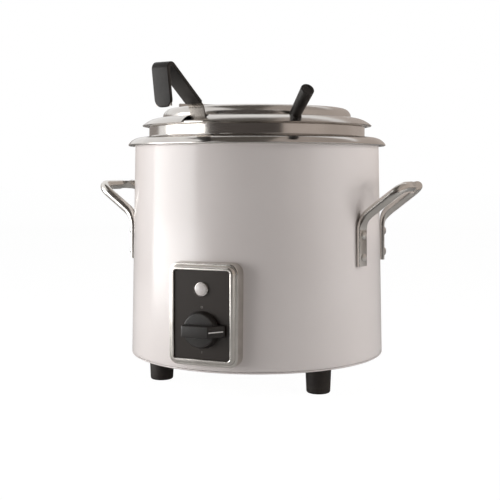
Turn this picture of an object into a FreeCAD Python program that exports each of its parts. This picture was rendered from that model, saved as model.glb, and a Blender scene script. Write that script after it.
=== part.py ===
import FreeCAD, Part
import math
import os

V = FreeCAD.Vector
UP = V(0, 0, 1)
FRONT = V(0, -1, 0)
BACK = V(0, 1, 0)
CENTRE = V(0, 0, 0)

# Driving dimensions, in millimetres and degrees. The kettle's axis is vertical and its front faces -Y.
# An angle called a turn is measured about the axis from the front towards +X.

# Clearances
SEAT_GAP = 0.3
FIT_GAP = 0.15
RUNNING_GAP = 0.05

# Inset pan that holds the soup
INSET_RADIUS = 130.0
INSET_DEPTH = 207.0
INSET_WALL = 1.0
INSET_CORNER = 22.0
RIM_CORNER = 3.0
RIM_WIDTH = 12.0
RIM_BEAD = 1.85
RIM_BEAD_RISE = 0.5

# Water well and the stainless ring around its mouth
WELL_CLEARANCE = 3.0
WELL_WALL = 1.0
WELL_CORNER = 24.0
WELL_EDGE_DROP = 0.5
WATER_GAP = 24.0
COLLAR_WALL = 1.5
COLLAR_HEIGHT = 15.7
RING_SHEET = 1.0
RING_LEDGE = 10.25
RING_DOME = 18.6
RING_SWEEP = 57.0
RING_FILLET = 2.5
RING_BEAD = 1.4

# Painted drum, base pan and feet
JACKET_SPACE = 19.0
DRUM_FLARE = 4.0
BASE_ROOM = 56.4
DRUM_WALL = 1.2
DRUM_BEAD_DROP = 9.5
DRUM_BEAD_LENGTH = 3.0
DRUM_BEAD_PROUD = 0.7
PAN_LIP = 2.2
PAN_EDGE = 1.5
PAN_WALL = 1.5
PAN_HEIGHT = 20.0
FOOT_HEIGHT = 33.4
FOOT_TOP_RADIUS = 15.5
FOOT_BOTTOM_RADIUS = 14.0
FOOT_EDGE = 2.5
FOOT_POCKET_RADIUS = 7.0
FOOT_WEB = 9.0
FOOT_INSET = 36.8
FOOT_TURNS = {"front_left_foot": -58, "front_right_foot": 58, "rear_foot": 180}
FOOT_SCREW_RADIUS = 2.5
FOOT_SCREW_HEAD = 5.0
FOOT_SCREW_HEAD_HEIGHT = 3.5
FOOT_NUT = 8.0
FOOT_NUT_HEIGHT = 4.0
FOOT_SCREW_END = 1.5

# Heater under the well, and the studs that hold it and the base pan
HEATER_SETBACK = 49.0
HEATER_TUBE = 4.0
HEATER_END_SPACING = 44.0
HEATER_LEG = 17.0
CLAMP_LAP = 15.0
CLAMP_SHEET = 2.0
CLAMP_HOLE_ROOM = 2.0
STUD_RADIUS = 3.0
STUD_SETBACK = 25.0
STUD_TURNS = (0, 120, 240)
STUD_NUT = 10.0
STUD_NUT_HEIGHT = 5.0
STUD_END = 1.5
CUTOUT_RADIUS = 8.0
CUTOUT_HEIGHT = 9.0
CUTOUT_CIRCLE = 30.0
CUTOUT_TURN = 60.0
CUTOUT_BLADE = (1.0, 6.0, 8.0)
CUTOUT_BLADE_SPACING = 8.0
JACKET_THICKNESS = 11.0
JACKET_WELL_GAP = 0.5
JACKET_TOP_GAP = 0.5
JACKET_WINDOW_ROOM = 8.0

# Carrying handles
HANDLE_HALF = 47.4
HANDLE_ROD = 6.0
HANDLE_REACH = 38.4
HANDLE_RISE = 38.0
HANDLE_BEND = 26.0
HANDLE_CORNER = 16.0
LEG_BOTTOM = 148.5
LEG_LENGTH = 42.6
LEG_WIDTH = 15.5
LEG_THICKNESS = 5.4
LEG_ROUND = 1.6
RIVET_HEIGHTS = (10.0, 36.0)
RIVET_HEAD = 5.0
RIVET_HEAD_HEIGHT = 2.6
RIVET_SHANK = 2.4
RIVET_TAIL = 4.0
RIVET_TAIL_HEIGHT = 1.5

# Control panel
PANEL_CENTRE = 99.8
PANEL_WIDTH = 76.0
PANEL_HEIGHT = 107.0
PANEL_STAND = 13.0
PANEL_ROUND = 7.0
PANEL_FRAME = 4.0
OPENING_ROUND = 3.0
PANEL_CHAMFER = 0.8
PANEL_TIER = 5.0
PANEL_DRAFT = 1.5
PANEL_STEP = 2.5
PANEL_BACK = 14.0
PANEL_RECESS = 2.0
PLATE_SHEET = 1.5
PLATE_LEDGE = 3.0
WINDOW_ROOM = 1.0
BEZEL_STUD = 2.0
BEZEL_STUD_INSET = 3.2
BEZEL_STUD_DEPTH = 7.0
BEZEL_NUT = 7.0
BEZEL_NUT_HEIGHT = 3.0
BEZEL_NUT_STAND = 0.3
BEZEL_STUD_END = 1.0

# Thermostat and knob
KNOB_DROP = 16.5
KNOB_RADIUS = 21.0
KNOB_FRONT_RADIUS = 19.0
KNOB_SKIRT = 7.5
KNOB_GAP = 0.8
KNOB_HOLLOW_RADIUS = 13.0
KNOB_HOLLOW = 4.5
BAR_WIDTH = 13.0
BAR_HEIGHT = 11.0
BAR_TAIL = 17.5
BAR_BEVEL = 3.0
BAR_TOP = 15.6
BAR_NOSE = 29.0
BAR_NOSE_HEIGHT = 2.0
POINTER_WIDTH = 1.2
POINTER_DEPTH = 0.8
POINTER_SHARE = 0.9
SHAFT_RADIUS = 3.0
SHAFT_IN_KNOB = 13.0
SHAFT_IN_BODY = 12.0
SHAFT_FLAT = 1.8
BUSH_RADIUS = 5.0
BUSH_LENGTH = 5.5
BUSH_NUT = 13.0
BUSH_NUT_HEIGHT = 2.5
THERMOSTAT_WIDTH = 40.0
THERMOSTAT_HEIGHT = 38.0
THERMOSTAT_DEPTH = 22.0
THERMOSTAT_ROUND = 2.0
BULB_RADIUS = 3.0
BULB_LENGTH = 36.0
BULB_TURN = -12.0
BULB_RISE = 35.5
BULB_CLIP_SHEET = 1.0
BULB_CLIP_HEIGHT = 8.0
BULB_CLIP_TAB = 5.0
CAPILLARY_RADIUS = 0.8
CAPILLARY_BEND = 3.5
CAPILLARY_RUN = 8.0
CAPILLARY_INSET = 8.8
CAPILLARY_OFFSET = 10.0

# Pilot lamp
LAMP_RISE = 28.7
LAMP_RADIUS = 6.5
LAMP_RIM = 8.25
LAMP_RIM_HEIGHT = 2.0
LAMP_LENS = 6.8
LAMP_LENS_HEIGHT = 1.6
LAMP_LENS_SEAT = 1.0
LAMP_LENGTH = 16.0
LAMP_NUT = 17.0
LAMP_NUT_HEIGHT = 3.0

# Mains entry at the back and the leads inside
GLAND_HEIGHT = 32.0
GLAND_BORE = 4.5
GLAND_BORE_START = 2.0
GLAND_TAIL_BORE = 5.5
GLAND_THREAD = 7.5
GLAND_HEX = 20.0
GLAND_HEX_LENGTH = 5.0
GLAND_DOME = 9.5
GLAND_DOME_LENGTH = 13.0
GLAND_DOME_ROUND = 3.0
GLAND_NUT_HEIGHT = 4.0
GLAND_TAIL = 7.5
BLOCK_SIZE = (34.0, 16.0, 13.0)
BLOCK_SETBACK = 20.0
BLOCK_WAYS = 3
BLOCK_PITCH = 10.0
BLOCK_HOLE = 2.2
LEAD_RADIUS = 1.2
LEAD_BEND = 5.0
LEAD_RISE = 6.0
LEAD_INSET = 4.4
LEAD_FEED_OFFSET = 16.0
LEAD_LOAD_OFFSET = 10.0
LAMP_LEAD_SPACING = 8.0
LAMP_LEAD_RUN = 5.5

# Hinged lid
LID_TURN = 41.7
LID_SHEET = 1.0
LID_DOME = 35.8
LID_SKIRT_ANGLE = 43.0
LID_CROWN_SETBACK = 19.15
LID_FILLET = 1.5
CROWN_HEIGHT = 11.95
CROWN_CORNER = 11.0
LID_SPLIT = 1.2
NOTCH_WIDTH = 30.0
NOTCH_REACH = 3.0
NOTCH_ROUND = 6.0
HINGE_LENGTH = 204.0
HINGE_KNUCKLES = 5
KNUCKLE_RADIUS = 2.6
KNUCKLE_LIFT = 0.2
KNUCKLE_GAP = 0.5
LEAF_SHEET = 0.8
LEAF_WIDTH = 15.0
HINGE_PIN = 1.25
PIN_HEAD = 2.1
PIN_HEAD_LENGTH = 0.9
HINGE_RIVETS = (-80.0, -30.0, 30.0, 80.0)
HINGE_RIVET_ROW = 9.0
HINGE_RIVET_HEAD = 2.6
HINGE_RIVET_HEAD_HEIGHT = 1.2
HINGE_RIVET_SHANK = 1.5
LID_HANDLE_BASE = 6.5
LID_HANDLE_TIP = 7.9
LID_HANDLE_LENGTH = 46.0
LID_HANDLE_RISE = 35.4
LID_HANDLE_START = 5.8
LID_HANDLE_DEEP = 14.0
LID_HANDLE_SINK = 1.2
LID_HANDLE_ROUND = 1.0
LID_HANDLE_DIMPLE = 5.2
LID_HANDLE_DIMPLE_DEPTH = 1.0
LID_SCREW_TILT = 14.0
LID_SCREW_RADIUS = 2.0
LID_SCREW_HEAD = 3.6
LID_SCREW_HEAD_HEIGHT = 2.2
LID_SCREW_GRIP = 6.0

# Ladle that stands in the inset
LADLE_TURN = -9.8
LADLE_ANGLE = 19.0
STRIP_WIDTH = 21.0
STRIP_SHEET = 2.0
BOWL_RADIUS = 45.0
BOWL_WALL = 1.2
BOWL_WRAP_ANGLE = 26.0
SHANK_RISE = 15.08
KINK_ANGLE = 54.5
KINK_RADIUS = 10.0
UPPER_LENGTH = 68.5
FOLD_RADIUS = 6.0
HOOK_ANGLE = 189.0
HOOK_LENGTH = 40.0
GRIP_WIDTH = 22.5
GRIP_THICKNESS = 4.5
GRIP_START = 3.0
GRIP_END_ROUND = 9.0
GRIP_TIP = 1.5
LADLE_RIVET_SPACING = 10.0
LADLE_RIVET_SHANK = 1.6
LADLE_RIVET_HEAD = 3.2
LADLE_RIVET_HEIGHT = 1.2


def sine(angle):
    return math.sin(math.radians(angle))


def cosine(angle):
    return math.cos(math.radians(angle))


# Heights and radii that follow from the driving dimensions, from the floor up
PAN_Z = FOOT_HEIGHT
DRUM_BOTTOM = PAN_Z + PAN_LIP
DRUM_HEIGHT = INSET_DEPTH + BASE_ROOM
DRUM_TOP = DRUM_BOTTOM + DRUM_HEIGHT
WELL_RADIUS = INSET_RADIUS + INSET_WALL + WELL_CLEARANCE
WELL_OUTER = WELL_RADIUS + WELL_WALL
COLLAR_INNER = WELL_OUTER + FIT_GAP
COLLAR_OUTER = COLLAR_INNER + COLLAR_WALL
DRUM_TOP_RADIUS = WELL_OUTER + JACKET_SPACE
DRUM_BASE_RADIUS = DRUM_TOP_RADIUS + DRUM_FLARE
RING_R = COLLAR_OUTER + RING_LEDGE
RING_Z = DRUM_TOP + SEAT_GAP - math.sqrt((RING_DOME - RING_SHEET) ** 2 - (DRUM_TOP_RADIUS - RING_R) ** 2)
RING_FLAT = RING_Z + RING_DOME
COLLAR_TOP = RING_FLAT + COLLAR_HEIGHT
FLANGE_TOP = COLLAR_TOP + INSET_WALL
BEAD_R = INSET_RADIUS + RIM_WIDTH - RIM_BEAD
BEAD_Z = FLANGE_TOP + RIM_BEAD_RISE - RIM_BEAD
INSET_FLOOR = FLANGE_TOP - INSET_DEPTH
WELL_FLOOR = INSET_FLOOR - INSET_WALL - WATER_GAP
WELL_UNDER = WELL_FLOOR - WELL_WALL
FOOT_CIRCLE = DRUM_BASE_RADIUS - FOOT_INSET
BLOCK_CIRCLE = FOOT_CIRCLE - BLOCK_SETBACK
BULB_BOTTOM = WELL_FLOOR + BULB_RISE
HEATER_RING = WELL_RADIUS - HEATER_SETBACK
HEATER_GAP = 2 * math.degrees(math.asin(HEATER_END_SPACING / 2 / HEATER_RING))
CLAMP_RADIUS = HEATER_RING + CLAMP_LAP
STUD_CIRCLE = HEATER_RING - STUD_SETBACK
HEATER_Z = WELL_UNDER - FIT_GAP - HEATER_TUBE
CLAMP_Z = HEATER_Z - HEATER_TUBE - FIT_GAP - CLAMP_SHEET

# The lid's domed flange rests on the rim's bead; its crown rises inside the dome
DOME_R = BEAD_R - LID_CROWN_SETBACK
DOME_INNER = LID_DOME - LID_SHEET
DOME_Z = BEAD_Z - math.sqrt((DOME_INNER - SEAT_GAP - RIM_BEAD) ** 2 - (BEAD_R - DOME_R) ** 2)
DOME_TOP = DOME_Z + LID_DOME
CROWN_RADIUS = DOME_R - LID_FILLET
LID_TOP = DOME_TOP + CROWN_HEIGHT
HINGE_Z = LID_TOP + KNUCKLE_LIFT + KNUCKLE_RADIUS


def drum_radius(z):
    """Outer radius of the tapered drum at a height."""
    return DRUM_BASE_RADIUS - DRUM_FLARE * (z - DRUM_BOTTOM) / DRUM_HEIGHT


PANEL_FRONT = drum_radius(PANEL_CENTRE) + PANEL_STAND
PLATE_FRONT = PANEL_FRONT - PANEL_RECESS
PLATE_BACK = PLATE_FRONT - PLATE_SHEET
KNOB_Z = PANEL_CENTRE - KNOB_DROP
LAMP_Z = PANEL_CENTRE + LAMP_RISE
KNOB_BACK = PLATE_FRONT + KNOB_GAP
GLAND_Z = PAN_Z + GLAND_HEIGHT
GLAND_SEAT = drum_radius(GLAND_Z - GLAND_HEX / 2)

# The ladle's bowl stands on the inset's floor and its strip leans on the inset's mouth
BOWL_Z = INSET_FLOOR + SEAT_GAP + BOWL_RADIUS
STRIP_REACH = BOWL_RADIUS + FIT_GAP + STRIP_SHEET / 2
MOUTH_RISE = BOWL_Z - (FLANGE_TOP - RIM_CORNER)
MOUTH_BOW = (STRIP_WIDTH / 2) ** 2 / (2 * INSET_RADIUS)
MOUTH_ROOM = RIM_CORNER + SEAT_GAP + MOUTH_BOW + STRIP_SHEET / 2 + STRIP_REACH
BOWL_S = INSET_RADIUS + RIM_CORNER + (MOUTH_RISE * sine(LADLE_ANGLE) - MOUTH_ROOM) / cosine(LADLE_ANGLE)
MOUTH_RUN = (FLANGE_TOP - BOWL_Z + STRIP_REACH * sine(LADLE_ANGLE)) / cosine(LADLE_ANGLE)
SHANK_LENGTH = MOUTH_RUN + SHANK_RISE
LADLE_HEADING = LADLE_ANGLE + BOWL_WRAP_ANGLE
LADLE_FOLD = HOOK_ANGLE - KINK_ANGLE
LADLE_MOVES = [
    (-BOWL_WRAP_ANGLE, STRIP_REACH),
    (0, SHANK_LENGTH),
    (KINK_ANGLE - LADLE_ANGLE, KINK_RADIUS),
    (0, UPPER_LENGTH),
    (LADLE_FOLD, FOLD_RADIUS),
    (0, HOOK_LENGTH),
]


def polar(radius, turn, z=0.0):
    """Point at a radius from the kettle's axis, turned from the front towards +X."""
    return V(radius * sine(turn), -radius * cosine(turn), z)


def arc_step(centre, radius, start, end):
    """Middle and end of an arc in a profile, between two angles measured from +r towards +z."""
    angles = ((start + end) / 2, end)
    return tuple((centre[0] + radius * cosine(a), centre[1] + radius * sine(a)) for a in angles)


def outline_face(steps, place):
    """Flat face from a first point and steps that are a point (a line) or a pair of points (an arc)."""
    start = here = place(*steps[0])
    edges = []
    for step in steps[1:]:
        if isinstance(step[0], tuple):
            middle, end = (place(*p) for p in step)
            edges.append(Part.Arc(here, middle, end).toShape())
        else:
            end = place(*step)
            edges.append(Part.LineSegment(here, end).toShape())
        here = end
    if here.distanceToPoint(start) > 1e-6:
        edges.append(Part.LineSegment(here, start).toShape())
    return Part.Face(Part.Wire(edges))


def turned(*steps):
    """Solid turned about the Z axis from a profile of radius and height."""
    return outline_face(steps, lambda r, z: V(r, 0, z)).revolve(CENTRE, UP, 360)


def rod(radius, start, direction, length):
    return Part.makeCylinder(radius, length, start, direction)


def block(x0, x1, y0, y1, z0, z1):
    return Part.makeBox(x1 - x0, y1 - y0, z1 - z0, V(x0, y0, z0))


def pointed(shape, start, direction):
    """Carry a shape made along +Z at the origin to a start point and a direction."""
    shape.Placement = FreeCAD.Placement(start, FreeCAD.Rotation(UP, direction))
    return shape


def hexagon(across_flats, height, bore, start, direction):
    """Hexagonal nut with a plain bore, standing on its start point."""
    corner = across_flats / math.sqrt(3)
    points = [V(corner * cosine(60 * i), corner * sine(60 * i), 0) for i in range(7)]
    nut = Part.Face(Part.makePolygon(points)).extrude(V(0, 0, height))
    if bore:
        nut = nut.cut(rod(bore, CENTRE, UP, height))
    return pointed(nut, start, direction)


def dome_head(radius, height):
    """Shallow spherical head standing on the origin."""
    ball = (radius**2 + height**2) / (2 * height)
    cap = Part.makeSphere(ball, V(0, 0, height - ball))
    return cap.common(Part.makeCylinder(radius, height))


def tube_along(points, radius, bend):
    """Round tube along straight runs that are joined by tangent arcs of one bend radius."""
    edges = []
    here = points[0]
    for before, corner, after in zip(points, points[1:], points[2:]):
        back = (before - corner).normalize()
        ahead = (after - corner).normalize()
        half = back.getAngle(ahead) / 2
        trim = bend / math.tan(half)
        start = corner + back * trim
        end = corner + ahead * trim
        middle_way = (back + ahead).normalize()
        middle = corner + middle_way * (bend / math.sin(half) - bend)
        edges.append(Part.LineSegment(here, start).toShape())
        edges.append(Part.Arc(start, middle, end).toShape())
        here = end
    edges.append(Part.LineSegment(here, points[-1]).toShape())
    ring = Part.Wire(Part.Circle(points[0], points[1] - points[0], radius).toShape())
    return Part.Wire(edges).makePipeShell([ring], True, False)


def strap(start, heading, moves, thickness, width):
    """Flat strap bent in the axis plane: moves are (0, length) or (outward turn, radius)."""
    left, right = [], []
    s, z = start

    def side(offset):
        return (s + offset * cosine(heading), z - offset * sine(heading))

    first = (side(-thickness / 2), side(thickness / 2))
    for turn, size in moves:
        if turn == 0:
            s += size * sine(heading)
            z += size * cosine(heading)
            left.append(side(-thickness / 2))
            right.append(side(thickness / 2))
            continue
        signed = math.copysign(size, turn)
        centre = (s + signed * cosine(heading), z - signed * sine(heading))
        arcs = ([], [])
        for share in (0.5, 1.0):
            angle = heading + turn * share
            s = centre[0] - signed * cosine(angle)
            z = centre[1] + signed * sine(angle)
            for arc, offset in zip(arcs, (-thickness / 2, thickness / 2)):
                arc.append((s + offset * cosine(angle), z - offset * sine(angle)))
        heading += turn
        left.append(tuple(arcs[0]))
        right.append(tuple(arcs[1]))
    steps = [first[0]] + left
    ends = [first[1]] + [step[1] if isinstance(step[0], tuple) else step for step in right]
    steps.append(ends[-1])
    for i in range(len(right) - 1, -1, -1):
        step = right[i]
        steps.append((step[0], ends[i]) if isinstance(step[0], tuple) else ends[i])
    face = outline_face(steps, lambda across, up: V(-width / 2, -across, up))
    return face.extrude(V(width, 0, 0))


# Feet: moulded rubber, each with a pocket for its screw
def foot(turn):
    pocket_top = FOOT_HEIGHT - FOOT_WEB
    body = turned(
        (FOOT_POCKET_RADIUS, 0),
        (FOOT_BOTTOM_RADIUS - FOOT_EDGE, 0),
        arc_step((FOOT_BOTTOM_RADIUS - FOOT_EDGE, FOOT_EDGE), FOOT_EDGE, -90, 0),
        (FOOT_TOP_RADIUS, FOOT_HEIGHT),
        (FOOT_SCREW_RADIUS + FIT_GAP, FOOT_HEIGHT),
        (FOOT_SCREW_RADIUS + FIT_GAP, pocket_top),
        (FOOT_POCKET_RADIUS, pocket_top),
    )
    body.translate(polar(FOOT_CIRCLE, turn))
    return body


def foot_screws():
    seat = FOOT_HEIGHT - FOOT_WEB
    end = PAN_Z + PAN_WALL + FOOT_NUT_HEIGHT + FOOT_SCREW_END
    screws = []
    for turn in FOOT_TURNS.values():
        start = polar(FOOT_CIRCLE, turn, seat)
        head = pointed(dome_head(FOOT_SCREW_HEAD, FOOT_SCREW_HEAD_HEIGHT), start, -UP)
        screws.append(head.fuse(rod(FOOT_SCREW_RADIUS, start, UP, end - seat)))
    return screws


def foot_nuts():
    bore = FOOT_SCREW_RADIUS + FIT_GAP
    seats = [polar(FOOT_CIRCLE, turn, PAN_Z + PAN_WALL) for turn in FOOT_TURNS.values()]
    return [hexagon(FOOT_NUT, FOOT_NUT_HEIGHT, bore, seat, UP) for seat in seats]


# Base pan: closes the drum from below and carries the feet
def base_pan():
    lip = DRUM_BASE_RADIUS
    inside = drum_radius(PAN_Z + PAN_HEIGHT) - DRUM_WALL - FIT_GAP
    pan = turned(
        (0, PAN_Z),
        (lip - PAN_EDGE, PAN_Z),
        arc_step((lip - PAN_EDGE, PAN_Z + PAN_EDGE), PAN_EDGE, -90, 0),
        (lip, DRUM_BOTTOM),
        (inside, DRUM_BOTTOM),
        (inside, PAN_Z + PAN_HEIGHT),
        (inside - PAN_WALL, PAN_Z + PAN_HEIGHT),
        (inside - PAN_WALL, PAN_Z + PAN_WALL),
        (0, PAN_Z + PAN_WALL),
    )
    screw_hole = FOOT_SCREW_RADIUS + FIT_GAP
    stud_hole = STUD_RADIUS + FIT_GAP
    holes = [rod(screw_hole, polar(FOOT_CIRCLE, t), UP, DRUM_BOTTOM) for t in FOOT_TURNS.values()]
    holes += [rod(stud_hole, polar(STUD_CIRCLE, t), UP, DRUM_BOTTOM) for t in STUD_TURNS]
    return pan.cut(holes)


# Drum: painted sleeve with a bead under the ring, a window for the controls and holes for its fixings.
# What is fixed to the drum is cut to its outer form.
DRUM_FORM = turned(
    (0, DRUM_BOTTOM),
    (DRUM_BASE_RADIUS, DRUM_BOTTOM),
    (DRUM_TOP_RADIUS, DRUM_TOP),
    (0, DRUM_TOP),
)


def panel_opening(shrink, front, back):
    """Rounded box through the panel, smaller than its face by a margin all round."""
    wire = panel_wire(PANEL_WIDTH - 2 * shrink, PANEL_HEIGHT - 2 * shrink, OPENING_ROUND, front)
    return Part.Face(wire).extrude(V(0, front - back, 0))


def drum():
    bead = DRUM_TOP - DRUM_BEAD_DROP
    shell = turned(
        (DRUM_BASE_RADIUS - DRUM_WALL, DRUM_BOTTOM),
        (DRUM_BASE_RADIUS, DRUM_BOTTOM),
        (drum_radius(bead), bead),
        (
            (drum_radius(bead) + DRUM_BEAD_PROUD, bead + DRUM_BEAD_LENGTH / 2),
            (drum_radius(bead + DRUM_BEAD_LENGTH), bead + DRUM_BEAD_LENGTH),
        ),
        (DRUM_TOP_RADIUS, DRUM_TOP),
        (DRUM_TOP_RADIUS - DRUM_WALL, DRUM_TOP),
    )
    holes = [panel_opening(PANEL_FRAME + PLATE_LEDGE + WINDOW_ROOM, PANEL_FRONT, 0)]
    holes += [pin.copy() for pin in bezel_pins(BEZEL_STUD + FIT_GAP)]
    holes += [rivet_hole(side, leg, height, FIT_GAP) for side, leg, height in rivet_places()]
    holes.append(rod(GLAND_THREAD + FIT_GAP, V(0, 0, GLAND_Z), BACK, GLAND_SEAT + GLAND_HEX_LENGTH))
    return shell.cut(holes)


# Stainless ring: collar around the well's mouth and a domed skirt that rests on the drum's edge
def well_ring():
    edge = 90 - RING_SWEEP
    inner = RING_DOME - RING_SHEET
    tip = (RING_R + inner * cosine(edge), RING_Z + inner * sine(edge))
    sheet = turned(
        (COLLAR_INNER, COLLAR_TOP),
        (COLLAR_OUTER, COLLAR_TOP),
        (COLLAR_OUTER, RING_FLAT + RING_FILLET),
        arc_step((COLLAR_OUTER + RING_FILLET, RING_FLAT + RING_FILLET), RING_FILLET, 180, 270),
        (RING_R, RING_FLAT),
        arc_step((RING_R, RING_Z), RING_DOME, 90, edge),
        tip,
        arc_step((RING_R, RING_Z), inner, edge, 90),
        (COLLAR_INNER, RING_FLAT - RING_SHEET),
    )
    bead = Part.makeTorus(RING_R + (RING_DOME - RING_BEAD) * cosine(edge), RING_BEAD)
    bead.translate(V(0, 0, RING_Z + (RING_DOME - RING_BEAD) * sine(edge)))
    return sheet.fuse(bead).removeSplitter()


def deep_pan(radius, wall, corner, floor, top):
    """Drawn pan: a floor, a rounded corner and a straight wall, all of one sheet thickness."""
    return turned(
        (0, floor - wall),
        (radius - corner, floor - wall),
        arc_step((radius - corner, floor + corner), corner + wall, -90, 0),
        (radius + wall, top),
        (radius, top),
        (radius, floor + corner),
        arc_step((radius - corner, floor + corner), corner, 0, -90),
        (0, floor),
    )


def water_well():
    return deep_pan(WELL_RADIUS, WELL_WALL, WELL_CORNER, WELL_FLOOR, COLLAR_TOP - WELL_EDGE_DROP)


# Glass-wool jacket between the well and the drum, open at the front where the controls reach in
def insulation_jacket():
    inside = WELL_OUTER + JACKET_WELL_GAP
    low = WELL_FLOOR + WELL_CORNER
    high = RING_FLAT - RING_SHEET - JACKET_TOP_GAP
    sleeve = turned(
        (inside, low),
        (inside + JACKET_THICKNESS, low),
        (inside + JACKET_THICKNESS, high),
        (inside, high),
    )
    half = PANEL_WIDTH / 2 + JACKET_WINDOW_ROOM
    window_top = PANEL_CENTRE + PANEL_HEIGHT / 2 + JACKET_WINDOW_ROOM
    return sleeve.cut(block(-half, half, -DRUM_BASE_RADIUS, 0, 0, window_top))


# Heater: a sheathed ring under the well, a clamp plate, studs welded to the well and a thermal cut-out
def heater_ends():
    return [polar(HEATER_RING, 180 + side * HEATER_GAP / 2, HEATER_Z) for side in (1, -1)]


def heating_element():
    ring = Part.makeTorus(HEATER_RING, HEATER_TUBE, CENTRE, UP, 0, 360, 360 - HEATER_GAP)
    ring.rotate(CENTRE, UP, 90 + HEATER_GAP / 2)
    ring.translate(V(0, 0, HEATER_Z))
    pieces = []
    for end in heater_ends():
        pieces.append(Part.makeSphere(HEATER_TUBE, end))
        pieces.append(rod(HEATER_TUBE, end, -UP, HEATER_LEG))
    return ring.fuse(pieces).removeSplitter()


def clamp_plate():
    plate = rod(CLAMP_RADIUS, V(0, 0, CLAMP_Z), UP, CLAMP_SHEET)
    holes = [rod(HEATER_TUBE + CLAMP_HOLE_ROOM, end, -UP, HEATER_LEG) for end in heater_ends()]
    holes += [rod(STUD_RADIUS + FIT_GAP, polar(STUD_CIRCLE, t), UP, WELL_UNDER) for t in STUD_TURNS]
    return plate.cut(holes)


def studs():
    low = PAN_Z - STUD_NUT_HEIGHT - STUD_END
    return [rod(STUD_RADIUS, polar(STUD_CIRCLE, t, low), UP, WELL_UNDER - low) for t in STUD_TURNS]


def stud_nuts():
    bore = STUD_RADIUS + FIT_GAP
    seats = [polar(STUD_CIRCLE, turn, z) for z in (CLAMP_Z, PAN_Z) for turn in STUD_TURNS]
    return [hexagon(STUD_NUT, STUD_NUT_HEIGHT, bore, seat, -UP) for seat in seats]


def thermal_cutout():
    top = polar(CUTOUT_CIRCLE, CUTOUT_TURN, CLAMP_Z)
    body = rod(CUTOUT_RADIUS, top, -UP, CUTOUT_HEIGHT)
    thick, wide, long = CUTOUT_BLADE
    blades = []
    for side in (-1, 1):
        blade = block(-thick / 2, thick / 2, -wide / 2, wide / 2, -long, 0)
        blade.translate(top + V(side * CUTOUT_BLADE_SPACING / 2, 0, -CUTOUT_HEIGHT))
        blades.append(blade)
    return body.fuse(blades)


# Carrying handles: a bent bar whose ends are flattened against the drum and riveted
def leg_frame(leg):
    """Drum radius at a leg of the right handle, and the leg's outward and sideways directions."""
    middle = LEG_BOTTOM + LEG_LENGTH / 2
    radius = drum_radius(middle)
    angle = math.degrees(math.asin(HANDLE_HALF / radius)) * leg
    outward = V(cosine(angle), sine(angle), 0)
    return radius, outward, UP.cross(outward)


def section(centre, across, outward, width, thickness, corner):
    """Rounded rectangle as four lines and four arcs."""
    w, t = width / 2, thickness / 2

    def at(u, v):
        return centre + across * u + outward * v

    def edge(a, b):
        return Part.LineSegment(at(*a), at(*b)).toShape()

    diagonal = corner * (1 - math.sqrt(0.5))
    edges = []
    corners = [(1, 1), (-1, 1), (-1, -1), (1, -1)]
    before = (w, -t + corner)
    for i, (su, sv) in enumerate(corners):
        on_side = (su * w, sv * (t - corner))
        on_face = (su * (w - corner), sv * t)
        first, last = (on_side, on_face) if i % 2 == 0 else (on_face, on_side)
        edges.append(edge(before, first))
        middle = (su * (w - diagonal), sv * (t - diagonal))
        edges.append(Part.Arc(at(*first), at(*middle), at(*last)).toShape())
        before = last
    return Part.Wire(edges)


def round_section(centre, across, outward, radius):
    """Circle as eight arcs that pair with the lines and arcs of a rounded rectangle."""
    edges = []
    for i in range(8):
        angles = [45 * i - 22.5, 45 * i, 45 * i + 22.5]
        points = [centre + across * (radius * cosine(a)) + outward * (radius * sine(a)) for a in angles]
        edges.append(Part.Arc(*points).toShape())
    return Part.Wire(edges)


def handle_bar():
    """One handle on the +X side."""
    turn = 90 - HANDLE_RISE
    arm_way = V(cosine(HANDLE_RISE), 0, sine(HANDLE_RISE))
    pieces = []
    starts = []
    for leg in (-1, 1):
        radius, outward, across = leg_frame(leg)
        foot_at = outward * (radius + LEG_THICKNESS / 2) + UP * LEG_BOTTOM
        top = foot_at + UP * LEG_LENGTH
        inward_spare = DRUM_FLARE / 2
        back = foot_at - outward * (inward_spare / 2)
        flat = section(back, across, outward, LEG_WIDTH, LEG_THICKNESS + inward_spare, LEG_ROUND)
        pieces.append(Part.Face(flat).extrude(UP * LEG_LENGTH))
        wires = [section(top, across, outward, LEG_WIDTH, LEG_THICKNESS, LEG_ROUND)]
        side = V(0, 1, 0)
        lean = (outward + V(1, 0, 0)).normalize()
        half = turn / 2
        mid = top + lean * (HANDLE_BEND * (1 - cosine(half))) + UP * (HANDLE_BEND * sine(half))
        mid_width = (LEG_WIDTH + 2 * HANDLE_ROD) / 2
        mid_thickness = (LEG_THICKNESS + 2 * HANDLE_ROD) / 2
        mid_across = (across + side).normalize()
        mid_out = lean * cosine(half) - UP * sine(half)
        mid_round = mid_thickness / 2 - LEG_ROUND / 4
        wires.append(section(mid, mid_across, mid_out, mid_width, mid_thickness, mid_round))
        end = top + lean * (HANDLE_BEND * (1 - cosine(turn))) + UP * (HANDLE_BEND * sine(turn))
        wires.append(round_section(end, side, V(sine(HANDLE_RISE), 0, -cosine(HANDLE_RISE)), HANDLE_ROD))
        pieces.append(Part.makeLoft(wires, True, False))
        starts.append(end)
    reach = HANDLE_REACH / cosine(HANDLE_RISE)
    points = [starts[0], starts[0] + arm_way * reach, starts[1] + arm_way * reach, starts[1]]
    bar = tube_along(points, HANDLE_ROD, HANDLE_CORNER)
    return bar.fuse(pieces).cut(DRUM_FORM)


def rivet_places():
    """Side of the kettle, leg of the handle and height of every handle rivet."""
    heights = [LEG_BOTTOM + rise for rise in RIVET_HEIGHTS]
    return [(side, leg, height) for side in (1, -1) for leg in (-1, 1) for height in heights]


def rivet_line(side, leg, height):
    """Point on the drum's surface and the outward direction of a handle rivet."""
    outward = leg_frame(leg)[1]
    outward = V(outward.x * side, outward.y, 0)
    return outward * drum_radius(height) + UP * height, outward


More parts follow.
